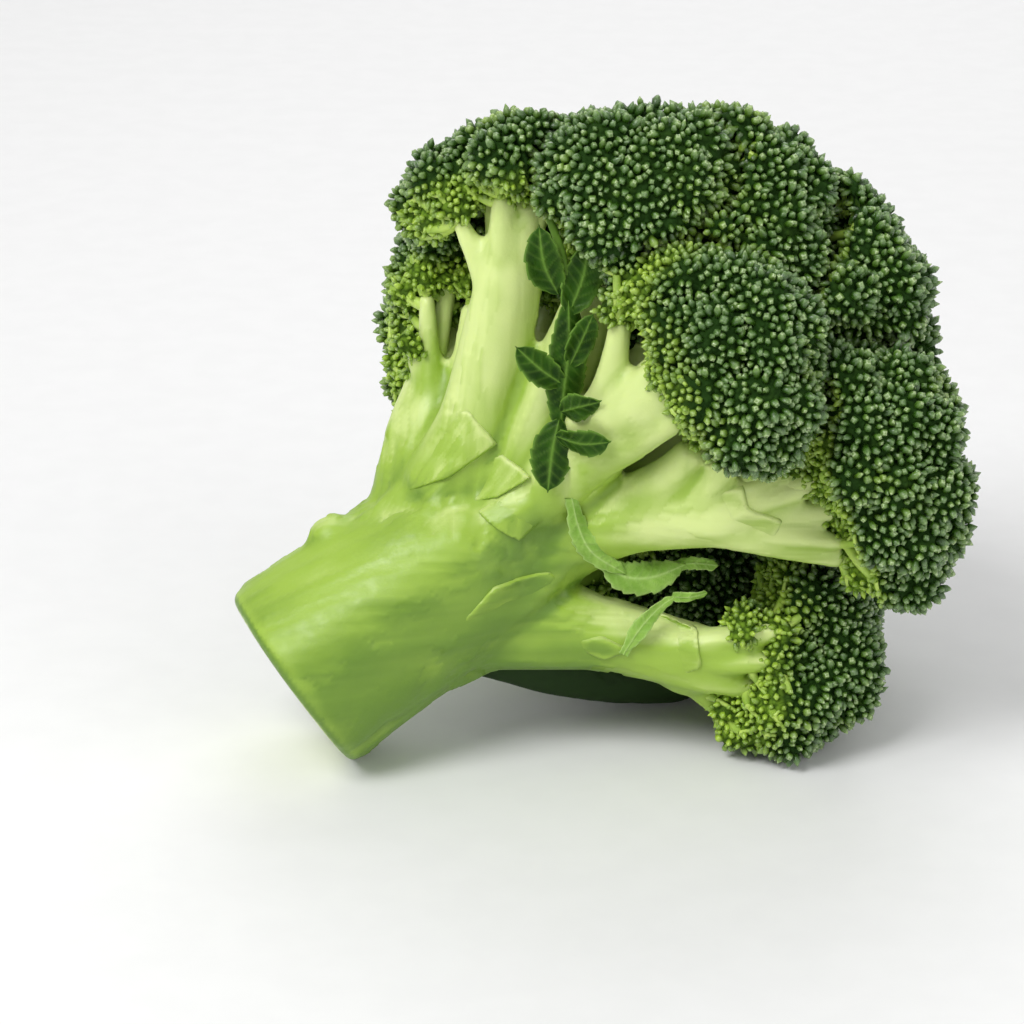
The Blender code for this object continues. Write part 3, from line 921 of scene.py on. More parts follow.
@dataclass(frozen=True)
class BudFinish:
    """Closed flower buds: dark and bluish on the dome, yellow-green and paler at the rim of a crown, with
    paler tips that are partly painted highlight and a painted highlight round each bud's top.
    """

    base: Colour = (0.013, 0.050, 0.002)
    side: Colour = (0.044, 0.122, 0.010)
    # tip is partly the buds' own paler tips and partly painted highlight.
    tip: Colour = (0.205, 0.345, 0.100)
    # edge is a painted highlight on the top of each bud.
    edge: Colour = (0.64, 0.77, 0.50)
    young_base: Colour = (0.10, 0.20, 0.012)
    young_tip: Colour = (0.36, 0.55, 0.05)
    dim: Colour = (0.62, 0.70, 0.66)
    bright: Colour = (1.30, 1.22, 1.15)

    def made(self) -> bpy.types.Material:
        """The material."""
        s = Shader("green_buds")
        shade, height = s.attribute("shade"), s.attribute("height")
        colour = s.mix(s.rise(height, 0.05, 0.6), self.base, self.side)
        colour = s.mix(s.rise(height, 0.55, 0.95), colour, self.tip)
        colour = s.mix(s.times(s.attribute("seam"), s.rise(height, 0.3, 0.9, 0.1, 0.7)), colour, self.side)
        # Painted highlight: a pale rim on each bud's top, stronger on some buds than on others.
        edge = s.times(s.rise(height, 0.86, 1.0), s.rise(shade, 0.2, 0.9, 0.15, 0.75))
        colour = s.mix(edge, colour, self.edge)
        young = s.mix(s.rise(height, 0.1, 0.9), self.young_base, self.young_tip)
        youth = s.times(s.attribute("rim"), 0.95)
        youth = s.plus(youth, s.rise(s.noise(42.0, 3.0), 0.52, 0.8, 0.0, 0.5))
        youth = s.plus(youth, s.wobble(shade, 0.14), clamp=True)
        colour = s.mix(youth, colour, young)
        colour = s.mix(0.75, colour, s.mix(shade, self.dim, self.bright), "MULTIPLY")
        grain = s.noise(2400.0, 3.0, 0.65)
        return s.finish(
            colour,
            s.rise(grain, 0.3, 0.7, 0.20, 0.36),
            s.bump(grain, 0.45, 0.5 * MM),
            Specular_IOR_Level=0.6,
            Coat_Weight=0.5,
            Coat_Roughness=0.12,
            Subsurface_Weight=0.05,
            Subsurface_Radius=(0.6, 1.0, 0.3),
            Subsurface_Scale=0.6 * MM,
        )


@dataclass(frozen=True)
class BedFinish:
    """What shows between the buds: short stalks, yellow-green on the underside and dark on the dome, where
    the dark is partly their own green and partly painted shade between the buds.
    """

    # dome is partly the stalks' own dark green and partly painted shade between the buds.
    dome: Colour = (0.012, 0.042, 0.003)
    under: Colour = (0.17, 0.30, 0.022)

    def made(self) -> bpy.types.Material:
        """The material."""
        s = Shader("bud_bed")
        lump = s.cells(620.0)
        share = s.rise(s.attribute("rim"), 0.25, 1.0)
        share = s.plus(share, s.wobble(s.noise(180.0), 0.4), clamp=True)
        colour = s.mix(share, self.dome, self.under)
        # Painted shade: darker in the grooves between the small lumps.
        colour = s.mix(s.rise(lump, 0.25, 0.7, 0.0, 0.7), colour, self.dome)
        normal = s.bump(s.times(lump, -1.0), 0.9, 1.2 * MM)
        return s.finish(colour, 0.8, normal, Specular_IOR_Level=0.15)


@dataclass(frozen=True)
class TwigFinish:
    """The thin stalks that carry the buds, pale yellow-green with darker ends."""

    pale: Colour = (0.50, 0.67, 0.13)
    green: Colour = (0.22, 0.38, 0.03)

    def made(self) -> bpy.types.Material:
        """The material."""
        s = Shader("twig_flesh")
        share = s.rise(s.attribute("along"), 0.2, 1.0, 0.05, 0.75)
        share = s.plus(share, s.wobble(s.noise(300.0), 0.6), clamp=True)
        return s.finish(
            s.mix(share, self.pale, self.green),
            0.38,
            s.bump(s.noise(1400.0, 2.0), 0.3, 0.3 * MM),
            Subsurface_Weight=0.15,
            Subsurface_Radius=(0.9, 1.0, 0.35),
            Subsurface_Scale=1 * MM,
        )


@dataclass(frozen=True)
class LeafFinish:
    """A small leaf: veins and edges paler than the blade."""

    name: str
    blade: Colour
    deep: Colour
    vein: Colour
    gloss: float

    def made(self) -> bpy.types.Material:
        """The material."""
        s = Shader(self.name)
        side_vein = s.attribute("side_vein")
        colour = s.mix(s.rise(s.noise(260.0, 4.0, 0.6), 0.3, 0.7), self.blade, self.deep)
        for line, strength in ((side_vein, 0.16), (s.attribute("vein"), 0.7), (s.attribute("edge"), 0.75)):
            colour = s.mix(s.times(line, strength), colour, self.vein)
        blister = s.noise(900.0, 3.0, 0.6)
        height = s.math("SUBTRACT", blister, s.times(side_vein, 0.6))
        return s.finish(
            colour,
            s.rise(blister, 0.3, 0.7, self.gloss, self.gloss + 0.16),
            s.bump(height, 0.5, 0.5 * MM),
            Subsurface_Weight=0.05,
            Subsurface_Radius=(0.5, 1.0, 0.2),
            Subsurface_Scale=1 * MM,
            Specular_IOR_Level=0.15,
        )


# ---------------------------------------------------------------- the stalk


@dataclass
class Branching:
    """The lines of all the stalk's branches, from the trunk to the thin ones in the crowns.

    Its lengths are in mm, apart from the step; the other numbers are shares of a radius or a length.
    """

    step: float = 1.5 * MM
    tip_reach: float = 2.0
    tip_size: float = 0.22
    root_back: float = 11
    root_size: float = 0.9
    spread: float = 0.55
    straight: float = 0.3
    bend: float = 0.4
    secondary_end: float = 2.2
    secondary_reach: float = 0.15

    def __post_init__(self) -> None:
        """Works out every line."""
        self.trunk = laid_route(STALK_ROUTE, self.step)
        self.stems = {floret.place: self.tapered(floret.stem) for floret in FLORETS}
        self.shoots = {
            floret.place: [laid_route(shoot, self.step) for shoot in floret.shoots] for floret in FLORETS
        }
        self.secondaries = {floret.place: self.forked(floret) for floret in FLORETS}

    def tapered(self, stem: tuple) -> np.ndarray:
        """A stem's line, run on past its fork to a narrow end.

        Args:
            stem: rows of (x, y, z, radius), in millimetres.

        Returns:
            Rows of (x, y, z, radius), in metres.
        """
        before, fork = np.array(stem[-2], float), np.array(stem[-1], float)
        ahead = unit((fork - before)[:3])
        tip = (*(fork[:3] + ahead * fork[3] * self.tip_reach), fork[3] * self.tip_size)
        return laid_route((*stem, tip), self.step)

    def forked(self, floret: Floret) -> list:
        """The secondary stalks of a floret, side by side out of its stem and one into each lobe.

        Args:
            floret: the floret that they belong to.

        Returns:
            Each stalk's rows of (x, y, z, radius), in metres.
        """
        *_, before, fork = floret.stem
        fork_at = np.array(fork[:3], float)
        ahead = unit(fork_at - np.array(before[:3], float))
        size = fork[3] * floret.fork_size
        lines = []
        for *centre, radius in floret.lobes:
            to_lobe = unit(np.array(centre) - fork_at)
            side = to_lobe - ahead * to_lobe.dot(ahead)
            side = side / max(np.linalg.norm(side), 0.35)
            end = np.array(centre) - to_lobe * radius * self.secondary_reach
            start = fork_at + side * fork[3] * self.spread
            straight = start + ahead * np.linalg.norm(end - start) * self.straight
            bend = (straight + start + (end - start) * self.bend) / 2
            root = fork_at - ahead * self.root_back + side * fork[3] * self.spread * 0.5
            route = (
                (*root, size * self.root_size),
                (*(start - ahead), size),
                (*bend, size * 0.55 + self.secondary_end * 0.45),
                (*end, self.secondary_end),
            )
            lines.append(laid_route(route, self.step))
        return lines

    def samples(self) -> tuple:
        """Points on all the lines.

        Returns:
            The points, and the direction and the radius of the branch at each.
        """
        lines = [self.trunk, *self.stems.values()]
        for group in (*self.secondaries.values(), *self.shoots.values()):
            lines += group
        spots = np.vstack([line[:, :3] for line in lines])
        ahead = np.vstack([unit(np.gradient(line[:, :3], axis=0)) for line in lines])
        radii = np.concatenate([line[:, 3] for line in lines])
        return spots, ahead, radii


@dataclass
class StalkSkin:
    """The skin of the trunk and the stems, and that of the thinner stalks at their forks."""

    branching: Branching
    voxel: float = 0.95 * MM
    web: float = 0.3 * MM
    fork_voxel: float = 1.0 * MM
    fork_web: float = 0.35 * MM
    smoothing: int = 3
    rib_rows: tuple = ((0.8, 0.93, 0.55), (0.5, 0.86, 0.4), (0.2, 0.74, 0.25))
    stub_route: tuple = ((-35, -3, 46, 8.5), (-39.5, -4, 51, 5.6), (-41.5, -4.4, 53.8, 2.6))
    scar_voxel: float = 0.5 * MM
    scar_depth: float = 2.2 * MM
    scar_fall: float = 8 * MM
    scar_cuts: int = 12
    scar_relief: float = 0.1
    ridge_share: float = 0.035
    ridge_height: float = 0.32 * MM
    edge_rounding: float = 0.7
    seed: int = 5

    def main(self, material: bpy.types.Material) -> bpy.types.Object:
        """The trunk, the stems and their side shoots as one piece.

        Args:
            material: its finish.

        Returns:
            The piece.
        """
        meshes = [tube(self.branching.trunk, 40, 0.035, 0.7)]
        meshes += [tube(line, 24, 0.06, 1.7 * i) for i, line in enumerate(self.branching.stems.values())]
        meshes += self.ribs() + self.stub() + self.thin(self.branching.shoots)
        return self.skinned("stalk_skin", meshes, self.voxel, self.web, material)

    def forks(self, material: bpy.types.Material) -> bpy.types.Object:
        """The stalks that leave the forks, as one piece."""
        meshes = self.thin(self.branching.secondaries)
        return self.skinned("fork_skin", meshes, self.fork_voxel, self.fork_web, material)

    @staticmethod
    def thin(groups: dict) -> list:
        """A tube for every line of every floret's thin stalks."""
        return [tube(line, 16, 0.07, float(i)) for group in groups.values() for i, line in enumerate(group)]

    def skinned(
        self, name: str, meshes: list, voxel: float, web: float, material: bpy.types.Material
    ) -> bpy.types.Object:
        """Tubes grown together under one skin.

        Args:
            name: the piece's name.
            meshes: the tubes.
            voxel: how fine the skin is, in metres.
            web: how far it fills the angle between two tubes, in metres.
            material: its finish.

        Returns:
            The piece.
        """
        obj = shown(name, joined(meshes))
        remeshed(obj, voxel)
        for amount in (web, -web):
            swell = obj.modifiers.new("swell", "DISPLACE")
            swell.mid_level = 0.0
            swell.strength = amount
            remeshed(obj, voxel)
        smoothed(obj, self.smoothing)
        settled(obj)
        self.grained(obj.data)
        return dressed(obj, material)

    def ribs(self) -> list:
        """Low ribs down the trunk, where the tissue of each stem runs on into it.

        Returns:
            The ribs' meshes. Each rib row gives how far up the trunk it lies, how far out from its
            middle, and the rib's size beside the stem.
        """
        trunk = self.branching.trunk
        meshes = []
        for line in self.branching.stems.values():
            start = line[2, :3]
            near = int(np.argmin(np.linalg.norm(trunk[:, :3] - start, axis=1)))
            out = start - trunk[near, :3]
            ahead = unit(trunk[near, :3] - trunk[0, :3])
            out = unit(out - ahead * out.dot(ahead))
            route = [(*line[4, :3], line[4, 3] * 0.9)]
            for share, lift, size in self.rib_rows:
                row = trunk[int(near * share)]
                radius = line[0, 3] * size
                route.append((*(row[:3] + out * (row[3] * lift - radius * 0.55)), radius))
            meshes.append(tube(curved(np.array(route), 2 * MM), 14))
        return meshes

    def stub(self) -> list:
        """The stub of a leaf near the cut end."""
        return [tube(laid_route(self.stub_route, 1 * MM), 14)]

    def scars(self, skin: bpy.types.Object, material: bpy.types.Material) -> list:
        """The low plates where leaves were cut away or the skin folds, each as one piece.

        Args:
            skin: the skin that they lie on.
            material: their finish.

        Returns:
            The pieces.
        """
        ground = BVHTree.FromPolygons(
            [tuple(spot) for spot in positions(skin.data)],
            [tuple(face.vertices) for face in skin.data.polygons],
        )
        pieces = []
        for number, corners in enumerate(FLAPS, 1):
            obj = shown(f"leaf_scar_{number}", self.flap(corners, ground))
            remeshed(obj, self.scar_voxel)
            smoothed(obj, self.smoothing)
            settled(obj)
            self.grained(obj.data, self.scar_relief, -1)
            pieces.append(dressed(obj, material))
        return pieces

    def flap(self, corners: tuple, ground: BVHTree) -> bpy.types.Mesh:
        """A low plate that follows the skin, as a closed body.

        Args:
            corners: its corners as (x, y, z, lift) in mm.
            ground: the skin.

        Returns:
            Its mesh.
        """
        rows = np.array(corners, float)
        spots, lift = laid(rows[:, :3]), rows[:, 3] * MM
        middle = spots.mean(0)
        out = unit(np.cross(spots - middle, np.roll(spots, -1, axis=0) - middle).sum(0))
        out = out if out[1] < 0 else -out
        work = bmesh.new()
        for i in range(len(spots)):
            j = (i + 1) % len(spots)
            ends = np.array([(*spots[i], lift[i]), (*spots[j], lift[j]), (*middle, lift.mean() * 0.9)])
            self.fanned(work, ends, out, ground)
        bmesh.ops.remove_doubles(work, verts=work.verts, dist=0.01 * MM)
        below = bmesh.ops.extrude_face_region(work, geom=work.faces[:], use_keep_orig=True)["geom"]
        sunk = [item for item in below if isinstance(item, bmesh.types.BMVert)]
        bmesh.ops.translate(work, verts=sunk, vec=Vector(-out * self.scar_depth))
        bmesh.ops.recalc_face_normals(work, faces=work.faces)
        mesh = bpy.data.meshes.new("flap")
        work.to_mesh(mesh)
        work.free()
        return mesh

    def fanned(self, work: bmesh.types.BMesh, ends: np.ndarray, out: np.ndarray, ground: BVHTree) -> None:
        """Adds one triangle of a plate, cut into small ones that lie on the skin.

        Args:
            work: the mesh that it is added to.
            ends: its three ends as (x, y, z, lift), in metres.
            out: the direction away from the skin.
            ground: the skin.
        """
        cuts = self.scar_cuts
        grid = {}
        for a in range(cuts + 1):
            for b in range(cuts + 1 - a):
                row = (ends[0] * a + ends[1] * b + ends[2] * (cuts - a - b)) / cuts
                hit = ground.ray_cast(Vector(row[:3] + out * self.scar_fall), Vector(-out))[0]
                spot = np.array(hit) if hit else row[:3]
                grid[a, b] = work.verts.new(spot + out * row[3])
        for a in range(cuts):
            for b in range(cuts - a):
                work.faces.new((grid[a, b], grid[a + 1, b], grid[a, b + 1]))
                if b < cuts - a - 1:
                    work.faces.new((grid[a + 1, b], grid[a + 1, b + 1], grid[a, b + 1]))

    def grained(self, mesh: bpy.types.Mesh, relief: float = 0.7, dark_side: float = 1) -> None:
        """Gives a skin its lengthwise ridges and the numbers that its material reads.

        Args:
            mesh: the skin.
            relief: how high the ridges are, as a share of their full height.
            dark_side: how dark green the hollows are, or the sharp edges where it is below 0.
        """
        rng = np.random.default_rng(self.seed)
        spots, even = positions(mesh), even_pull(mesh)
        flow, thick = self.nearest_branch(spots)
        a, b = edges(mesh).T
        run = unit(spots[b] - spots[a])
        # A streak is noise averaged many times over, and nearly only along the branch.
        along = np.abs((run * (flow[a] + flow[b]) / 2).sum(1)) ** 12 * 4.0
        broad = spread(mesh, rng.normal(size=len(spots)), even, 10)
        broad = levelled(spread(mesh, broad, along, 220))
        fine = spread(mesh, rng.normal(size=len(spots)), even, 1)
        fine = levelled(spread(mesh, fine, along, 160))
        smooth = np.column_stack([spread(mesh, spots[:, k].copy(), even, 12) for k in range(3)])
        hollow = ((smooth - spots) * normals(mesh)).sum(1)
        crease = smoothstep(0.12 * MM, 0.75 * MM, dark_side * spread(mesh, hollow, even, 2))
        # The cut end has no ridges, and its edge is rounded.
        inner = smoothstep(2.0 * MM, 5.0 * MM, self.level(spots))
        depth = relief * np.minimum(thick * self.ridge_share, self.ridge_height) * inner
        rounded = spots + (smooth - spots) * (1 - inner)[:, None] * self.edge_rounding
        move_points(mesh, rounded + normals(mesh) * (broad * depth + fine * depth * 0.25)[:, None])
        self.marked(mesh, spots)
        store(mesh, "streak", broad)
        store(mesh, "fine_streak", fine)
        store(mesh, "crease", crease)
        store(mesh, "green", self.greenness(mesh, spots, spread(mesh, hollow, even, 3)))

    def nearest_branch(self, spots: np.ndarray) -> tuple:
        """Which way the skin runs at each point.

        Args:
            spots: the points of the skin, one row each.

        Returns:
            The direction and the radius of the branch whose surface is nearest to each point.
        """
        line_spots, line_ahead, line_radii = self.branching.samples()
        tree = tree_of(line_spots)
        flow, thick = np.empty_like(spots), np.empty(len(spots))
        for i, spot in enumerate(spots):
            number = min(tree.find_n(spot, 6), key=lambda item: item[2] - line_radii[item[1]])[1]
            flow[i] = line_ahead[number]
            thick[i] = line_radii[number]
        return flow, thick

    def greenness(self, mesh: bpy.types.Mesh, spots: np.ndarray, bend: np.ndarray) -> np.ndarray:
        """How green the skin is: most at the cut end and in hollows, least on ridges. Painted light makes it
        paler where it faces up, and painted shade makes it greener where it faces down, where the branches
        part, on the stems inside the head and, in part, in hollows.

        Args:
            mesh: the skin with its ridges, for the way that it faces.
            spots: its points before they had ridges.
            bend: how hollow it is at each point, below 0 on a ridge.

        Returns:
            The share of green at each point, from 0 to 1.
        """
        run_down = np.linalg.norm(spots - self.branching.trunk[0, :3], axis=1)
        upward = normals(mesh)[:, 2]
        *shade_heart, reach = SHADE_HEART
        from_shade_heart = np.linalg.norm(spots - laid([shade_heart])[0], axis=1)
        green = 0.88 - 0.66 * smoothstep(32 * MM, 92 * MM, run_down)
        # Painted shade: greener round the place where the branches part.
        green += 0.30 * smoothstep(reach * MM, 0.0, from_shade_heart)
        green += 0.26 * smoothstep(46 * MM, 26 * MM, spots[:, 2]) * smoothstep(50 * MM, 62 * MM, run_down)
        # Painted light: paler where the skin faces up.
        green -= 0.40 * smoothstep(0.1, 0.95, upward)
        # Painted shade: greener where the skin faces down.
        green += 0.20 * smoothstep(0.1, 0.9, -upward)
        green -= 0.14 * smoothstep(0.02 * MM, 0.30 * MM, -bend)
        # Hollows are greener: partly the stalk's own colour, partly painted shade.
        green += 0.28 * smoothstep(0.03 * MM, 0.30 * MM, bend)
        # Painted shade: greener on the back of the stems, inside the head.
        green += 0.35 * smoothstep(0.0, 10 * MM, spots[:, 1]) * smoothstep(45 * MM, 60 * MM, run_down)
        return np.clip(green, 0, 1)

    def level(self, spots: np.ndarray) -> np.ndarray:
        """How far up the trunk each point lies from the cut end."""
        start, after = self.branching.trunk[:2, :3]
        return (spots - start) @ unit(after - start)

    def marked(self, mesh: bpy.types.Mesh, spots: np.ndarray) -> None:
        """Keeps where the skin is the cut end of the trunk, and where it is the stem in the shade below.

        Args:
            mesh: the skin.
            spots: its points before they had ridges.
        """
        trunk = self.branching.trunk
        ahead = unit(trunk[1, :3] - trunk[0, :3])
        level = self.level(spots)
        reach = np.linalg.norm(spots - trunk[0, :3] - level[:, None] * ahead, axis=1) / trunk[0, 3]
        store(mesh, "cut", smoothstep(1.6 * MM, 0.9 * MM, level))
        store(mesh, "cut_reach", reach)
        shaded = np.zeros(len(spots))
        for row in self.branching.stems["under"][::2]:
            near = np.linalg.norm(spots - row[:3], axis=1) / row[3]
            shaded = np.maximum(shaded, smoothstep(1.7, 1.15, near))
        shaded *= smoothstep(24 * MM, 16 * MM, spots[:, 2])
        store(mesh, "shaded", spread(mesh, shaded, even_pull(mesh), 6))

# ---------------------------------------------------------------- the crowns


@dataclass
class BudShape:
    """A closed flower bud, as a peg with four low sepals, standing on its base along Z."""

    width: float = 1.85 * MM
    height: float = 2.6 * MM
    sides: int = 8
    lobing: float = 0.13
    mouth: float = 0.42
    hollow: float = -0.04

    def built(self, name: str) -> bpy.types.Object:
        """The bud as a hidden object, with its height and seams kept at its points.

        Args:
            name: the object's name.

        Returns:
            The object.
        """
        rings = ((0.0, 0.60), (0.66, 0.98), (0.95, self.mouth))
        points, heights, seams = [], [], []
        for share, reach in rings:
            for i in range(self.sides):
                angle = 2 * math.pi * i / self.sides
                notch = i % 2
                radius = self.width / 2 * reach * (1 - self.lobing * notch * min(share * 1.6, 1.5))
                level = (share - 0.05 * notch * share**4) * self.height
                points.append((radius * math.cos(angle), radius * math.sin(angle), level))
                heights.append(share)
                seams.append(float(notch))
        top, last = len(points), len(points) - self.sides
        points.append((0.0, 0.0, self.height * (1.0 - self.hollow)))
        heights.append(0.85)
        seams.append(0.6)
        bottom = tuple(range(self.sides))[::-1]
        lid = [(last + i, last + (i + 1) % self.sides, top) for i in range(self.sides)]
        mesh = mesh_of(name, np.array(points), [bottom, *wall(len(rings), self.sides), *lid])
        store(mesh, "height", np.array(heights))
        store(mesh, "seam", np.array(seams))
        return hidden(name, mesh)

class Field(Tree):
    """A Geometry Nodes tree that grows small parts on a mesh."""

    def __init__(self, name: str, inputs: tuple) -> None:
        """Starts the tree.

        Args:
            name: the tree's name.
            inputs: the name and the kind of socket of each input after the geometry.
        """
        super().__init__(bpy.data.node_groups.new(name, "GeometryNodeTree"))
        face = self.tree.interface
        for key, kind in (("Geometry", "Geometry"), *inputs):
            face.new_socket(key, in_out="INPUT", socket_type="NodeSocket" + kind)
        face.new_socket("Geometry", in_out="OUTPUT", socket_type="NodeSocketGeometry")
        self.given = self.node("NodeGroupInput").outputs

    def read(self, name: str) -> Socket:
        """A number kept on the mesh."""
        node = self.node("GeometryNodeInputNamedAttribute", data_type="FLOAT")
        node.inputs["Name"].default_value = name
        return node.outputs["Attribute"]

    def finished(self, geometry: Socket) -> None:
        """Makes all instances real, sets their material and hands the result out.

        Args:
            geometry: what the tree has made.
        """
        real = self.node("GeometryNodeRealizeInstances")
        self.link(geometry, real.inputs["Geometry"])
        dress = self.node("GeometryNodeSetMaterial")
        self.link(real.outputs["Geometry"], dress.inputs["Geometry"])
        self.link(self.given["Material"], dress.inputs["Material"])
        self.link(dress.outputs["Geometry"], self.node("NodeGroupOutput").inputs["Geometry"])

    def applied(self, obj: bpy.types.Object, settings: dict) -> bpy.types.Object:
        """What the tree grows on an object, as one plain mesh.

        Args:
            obj: the object that holds the mesh to grow on.
            settings: the tree's inputs, by name.

        Returns:
            The same object, which now holds the result.
        """
        modifier = obj.modifiers.new(self.tree.name, "NODES")
        modifier.node_group = self.tree
        inputs = [item for item in self.tree.interface.items_tree if item.in_out == "INPUT"]
        keys = {item.name: item.identifier for item in inputs}
        for key, value in settings.items():
            modifier[keys[key]] = value
        return settled(obj)


class BudField(Field):
    """The Geometry Nodes tree that sets buds side by side over the bed of a crown."""

    kinds = ("Round Bud", "Pointed Bud", "Flat Bud")
    density = 4.0e6

    def __init__(self) -> None:
        """Builds the tree."""
        numbers = [(name, "Float") for name in ("Spacing", "Size", "Sink", "Lean")]
        objects = [(name, "Object") for name in self.kinds]
        super().__init__("bud_field", (*numbers, ("Seed", "Int"), *objects, ("Material", "Material")))
        scatter = self.scattered()
        put = self.node("GeometryNodeInstanceOnPoints")
        put.inputs["Pick Instance"].default_value = True
        self.link(scatter.outputs["Points"], put.inputs["Points"])
        self.link(self.buds(), put.inputs["Instance"])
        self.link(self.picked(), put.inputs["Instance Index"])
        self.link(self.turned(scatter.outputs["Rotation"]), put.inputs["Rotation"])
        self.link(self.sized(), put.inputs["Scale"])
        self.finished(self.sunk(self.shaded(put.outputs["Instances"])))

    def random(self, low: float, high: float, seed: int) -> Socket:
        """A random number for each bud, from low to high.

        Args:
            low: the least value.
            high: the greatest value.
            seed: what sets it apart from the tree's other random numbers.

        Returns:
            The number.
        """
        node = self.node("FunctionNodeRandomValue", data_type="FLOAT")
        # Sockets 2, 3 and 1 are those for a plain number; the other kinds have the same names.
        node.inputs[2].default_value = low
        node.inputs[3].default_value = high
        node.inputs["Seed"].default_value = seed
        return node.outputs[1]

    def picked(self) -> Socket:
        """The number of the kind of each bud, at random."""
        node = self.node("FunctionNodeRandomValue", data_type="INT")
        # Sockets 4, 5 and 2 are those for a whole number.
        node.inputs[4].default_value = 0
        node.inputs[5].default_value = len(self.kinds) - 1
        node.inputs["Seed"].default_value = 9
        return node.outputs[2]

    def combined(self, x: Value, y: Value, z: Value) -> Socket:
        """A vector of three numbers.

        Args:
            x: the first number.
            y: the second.
            z: the third.

        Returns:
            The vector.
        """
        node = self.node("ShaderNodeCombineXYZ")
        for key, value in zip("XYZ", (x, y, z)):
            self.feed(node.inputs[key], value)
        return node.outputs["Vector"]

    def scattered(self) -> bpy.types.Node:
        """The node that puts a point for each bud on the bed, where it is covered."""
        node = self.node("GeometryNodeDistributePointsOnFaces", distribute_method="POISSON")
        node.inputs["Density Max"].default_value = self.density
        for source, key in (("Geometry", "Mesh"), ("Spacing", "Distance Min"), ("Seed", "Seed")):
            self.link(self.given[source], node.inputs[key])
        self.link(self.read("cover"), node.inputs["Density Factor"])
        return node

    def buds(self) -> Socket:
        """The kinds of bud, one beside the other, to pick from."""
        join = self.node("GeometryNodeJoinGeometry")
        for name in self.kinds:
            info = self.node("GeometryNodeObjectInfo")
            info.inputs["As Instance"].default_value = True
            self.link(self.given[name], info.inputs["Object"])
            self.link(info.outputs["Geometry"], join.inputs["Geometry"])
        return join.outputs["Geometry"]

    def turned(self, upright: Socket) -> Socket:
        """Each bud's rotation: spun round itself and leaning a little.

        Args:
            upright: the rotation that stands it on the bed.

        Returns:
            The rotation that it has.
        """
        lean = [self.math("MULTIPLY", self.random(-1.0, 1.0, seed), self.given["Lean"]) for seed in (3, 4)]
        tilt = self.node("FunctionNodeEulerToRotation")
        self.link(self.combined(*lean, self.random(0.0, 6.283, 5)), tilt.inputs["Euler"])
        spin = self.node("FunctionNodeRotateRotation", rotation_space="LOCAL")
        self.link(upright, spin.inputs["Rotation"])
        self.link(tilt.outputs["Rotation"], spin.inputs["Rotate By"])
        return spin.outputs["Rotation"]

    def sized(self) -> Socket:
        """Each bud's size along its own axes, smaller at the rim of the crown."""
        size = self.math("MULTIPLY", self.random(0.78, 1.16, 6), self.given["Size"])
        shrink = self.math("SUBTRACT", 1.0, self.math("MULTIPLY", self.read("rim"), 0.20))
        size = self.math("MULTIPLY", size, shrink)
        wide = self.math("MULTIPLY", size, self.random(0.80, 1.08, 10))
        high = self.math("MULTIPLY", size, self.random(0.82, 1.22, 8))
        return self.combined(wide, size, high)

    def shaded(self, instances: Socket) -> Socket:
        """The buds, each with a random shade kept for its material.

        Args:
            instances: the buds.

        Returns:
            The same buds.
        """
        node = self.node("GeometryNodeStoreNamedAttribute", data_type="FLOAT", domain="INSTANCE")
        node.inputs["Name"].default_value = "shade"
        self.link(instances, node.inputs["Geometry"])
        self.link(self.random(0.0, 1.0, 7), node.inputs["Value"])
        return node.outputs["Geometry"]

    def sunk(self, instances: Socket) -> Socket:
        """The buds, each sunk into the bed to a slightly different depth.

        Args:
            instances: the buds.

        Returns:
            The same buds, moved.
        """
        node = self.node("GeometryNodeTranslateInstances")
        self.link(instances, node.inputs["Instances"])
        depth = self.math("ADD", self.given["Sink"], self.random(-0.45 * MM, 0.35 * MM, 12))
        self.link(self.combined(0.0, 0.0, depth), node.inputs["Translation"])
        return node.outputs["Instances"]

    def grown(self, name: str, bed: bpy.types.Object, settings: dict) -> bpy.types.Object:
        """Buds over a bed, as one plain mesh.

        Args:
            name: the new piece's name.
            bed: the object whose surface they stand on.
            settings: the tree's inputs, by name.

        Returns:
            The piece.
        """
        return self.applied(shown(name, bed.data.copy()), settings)

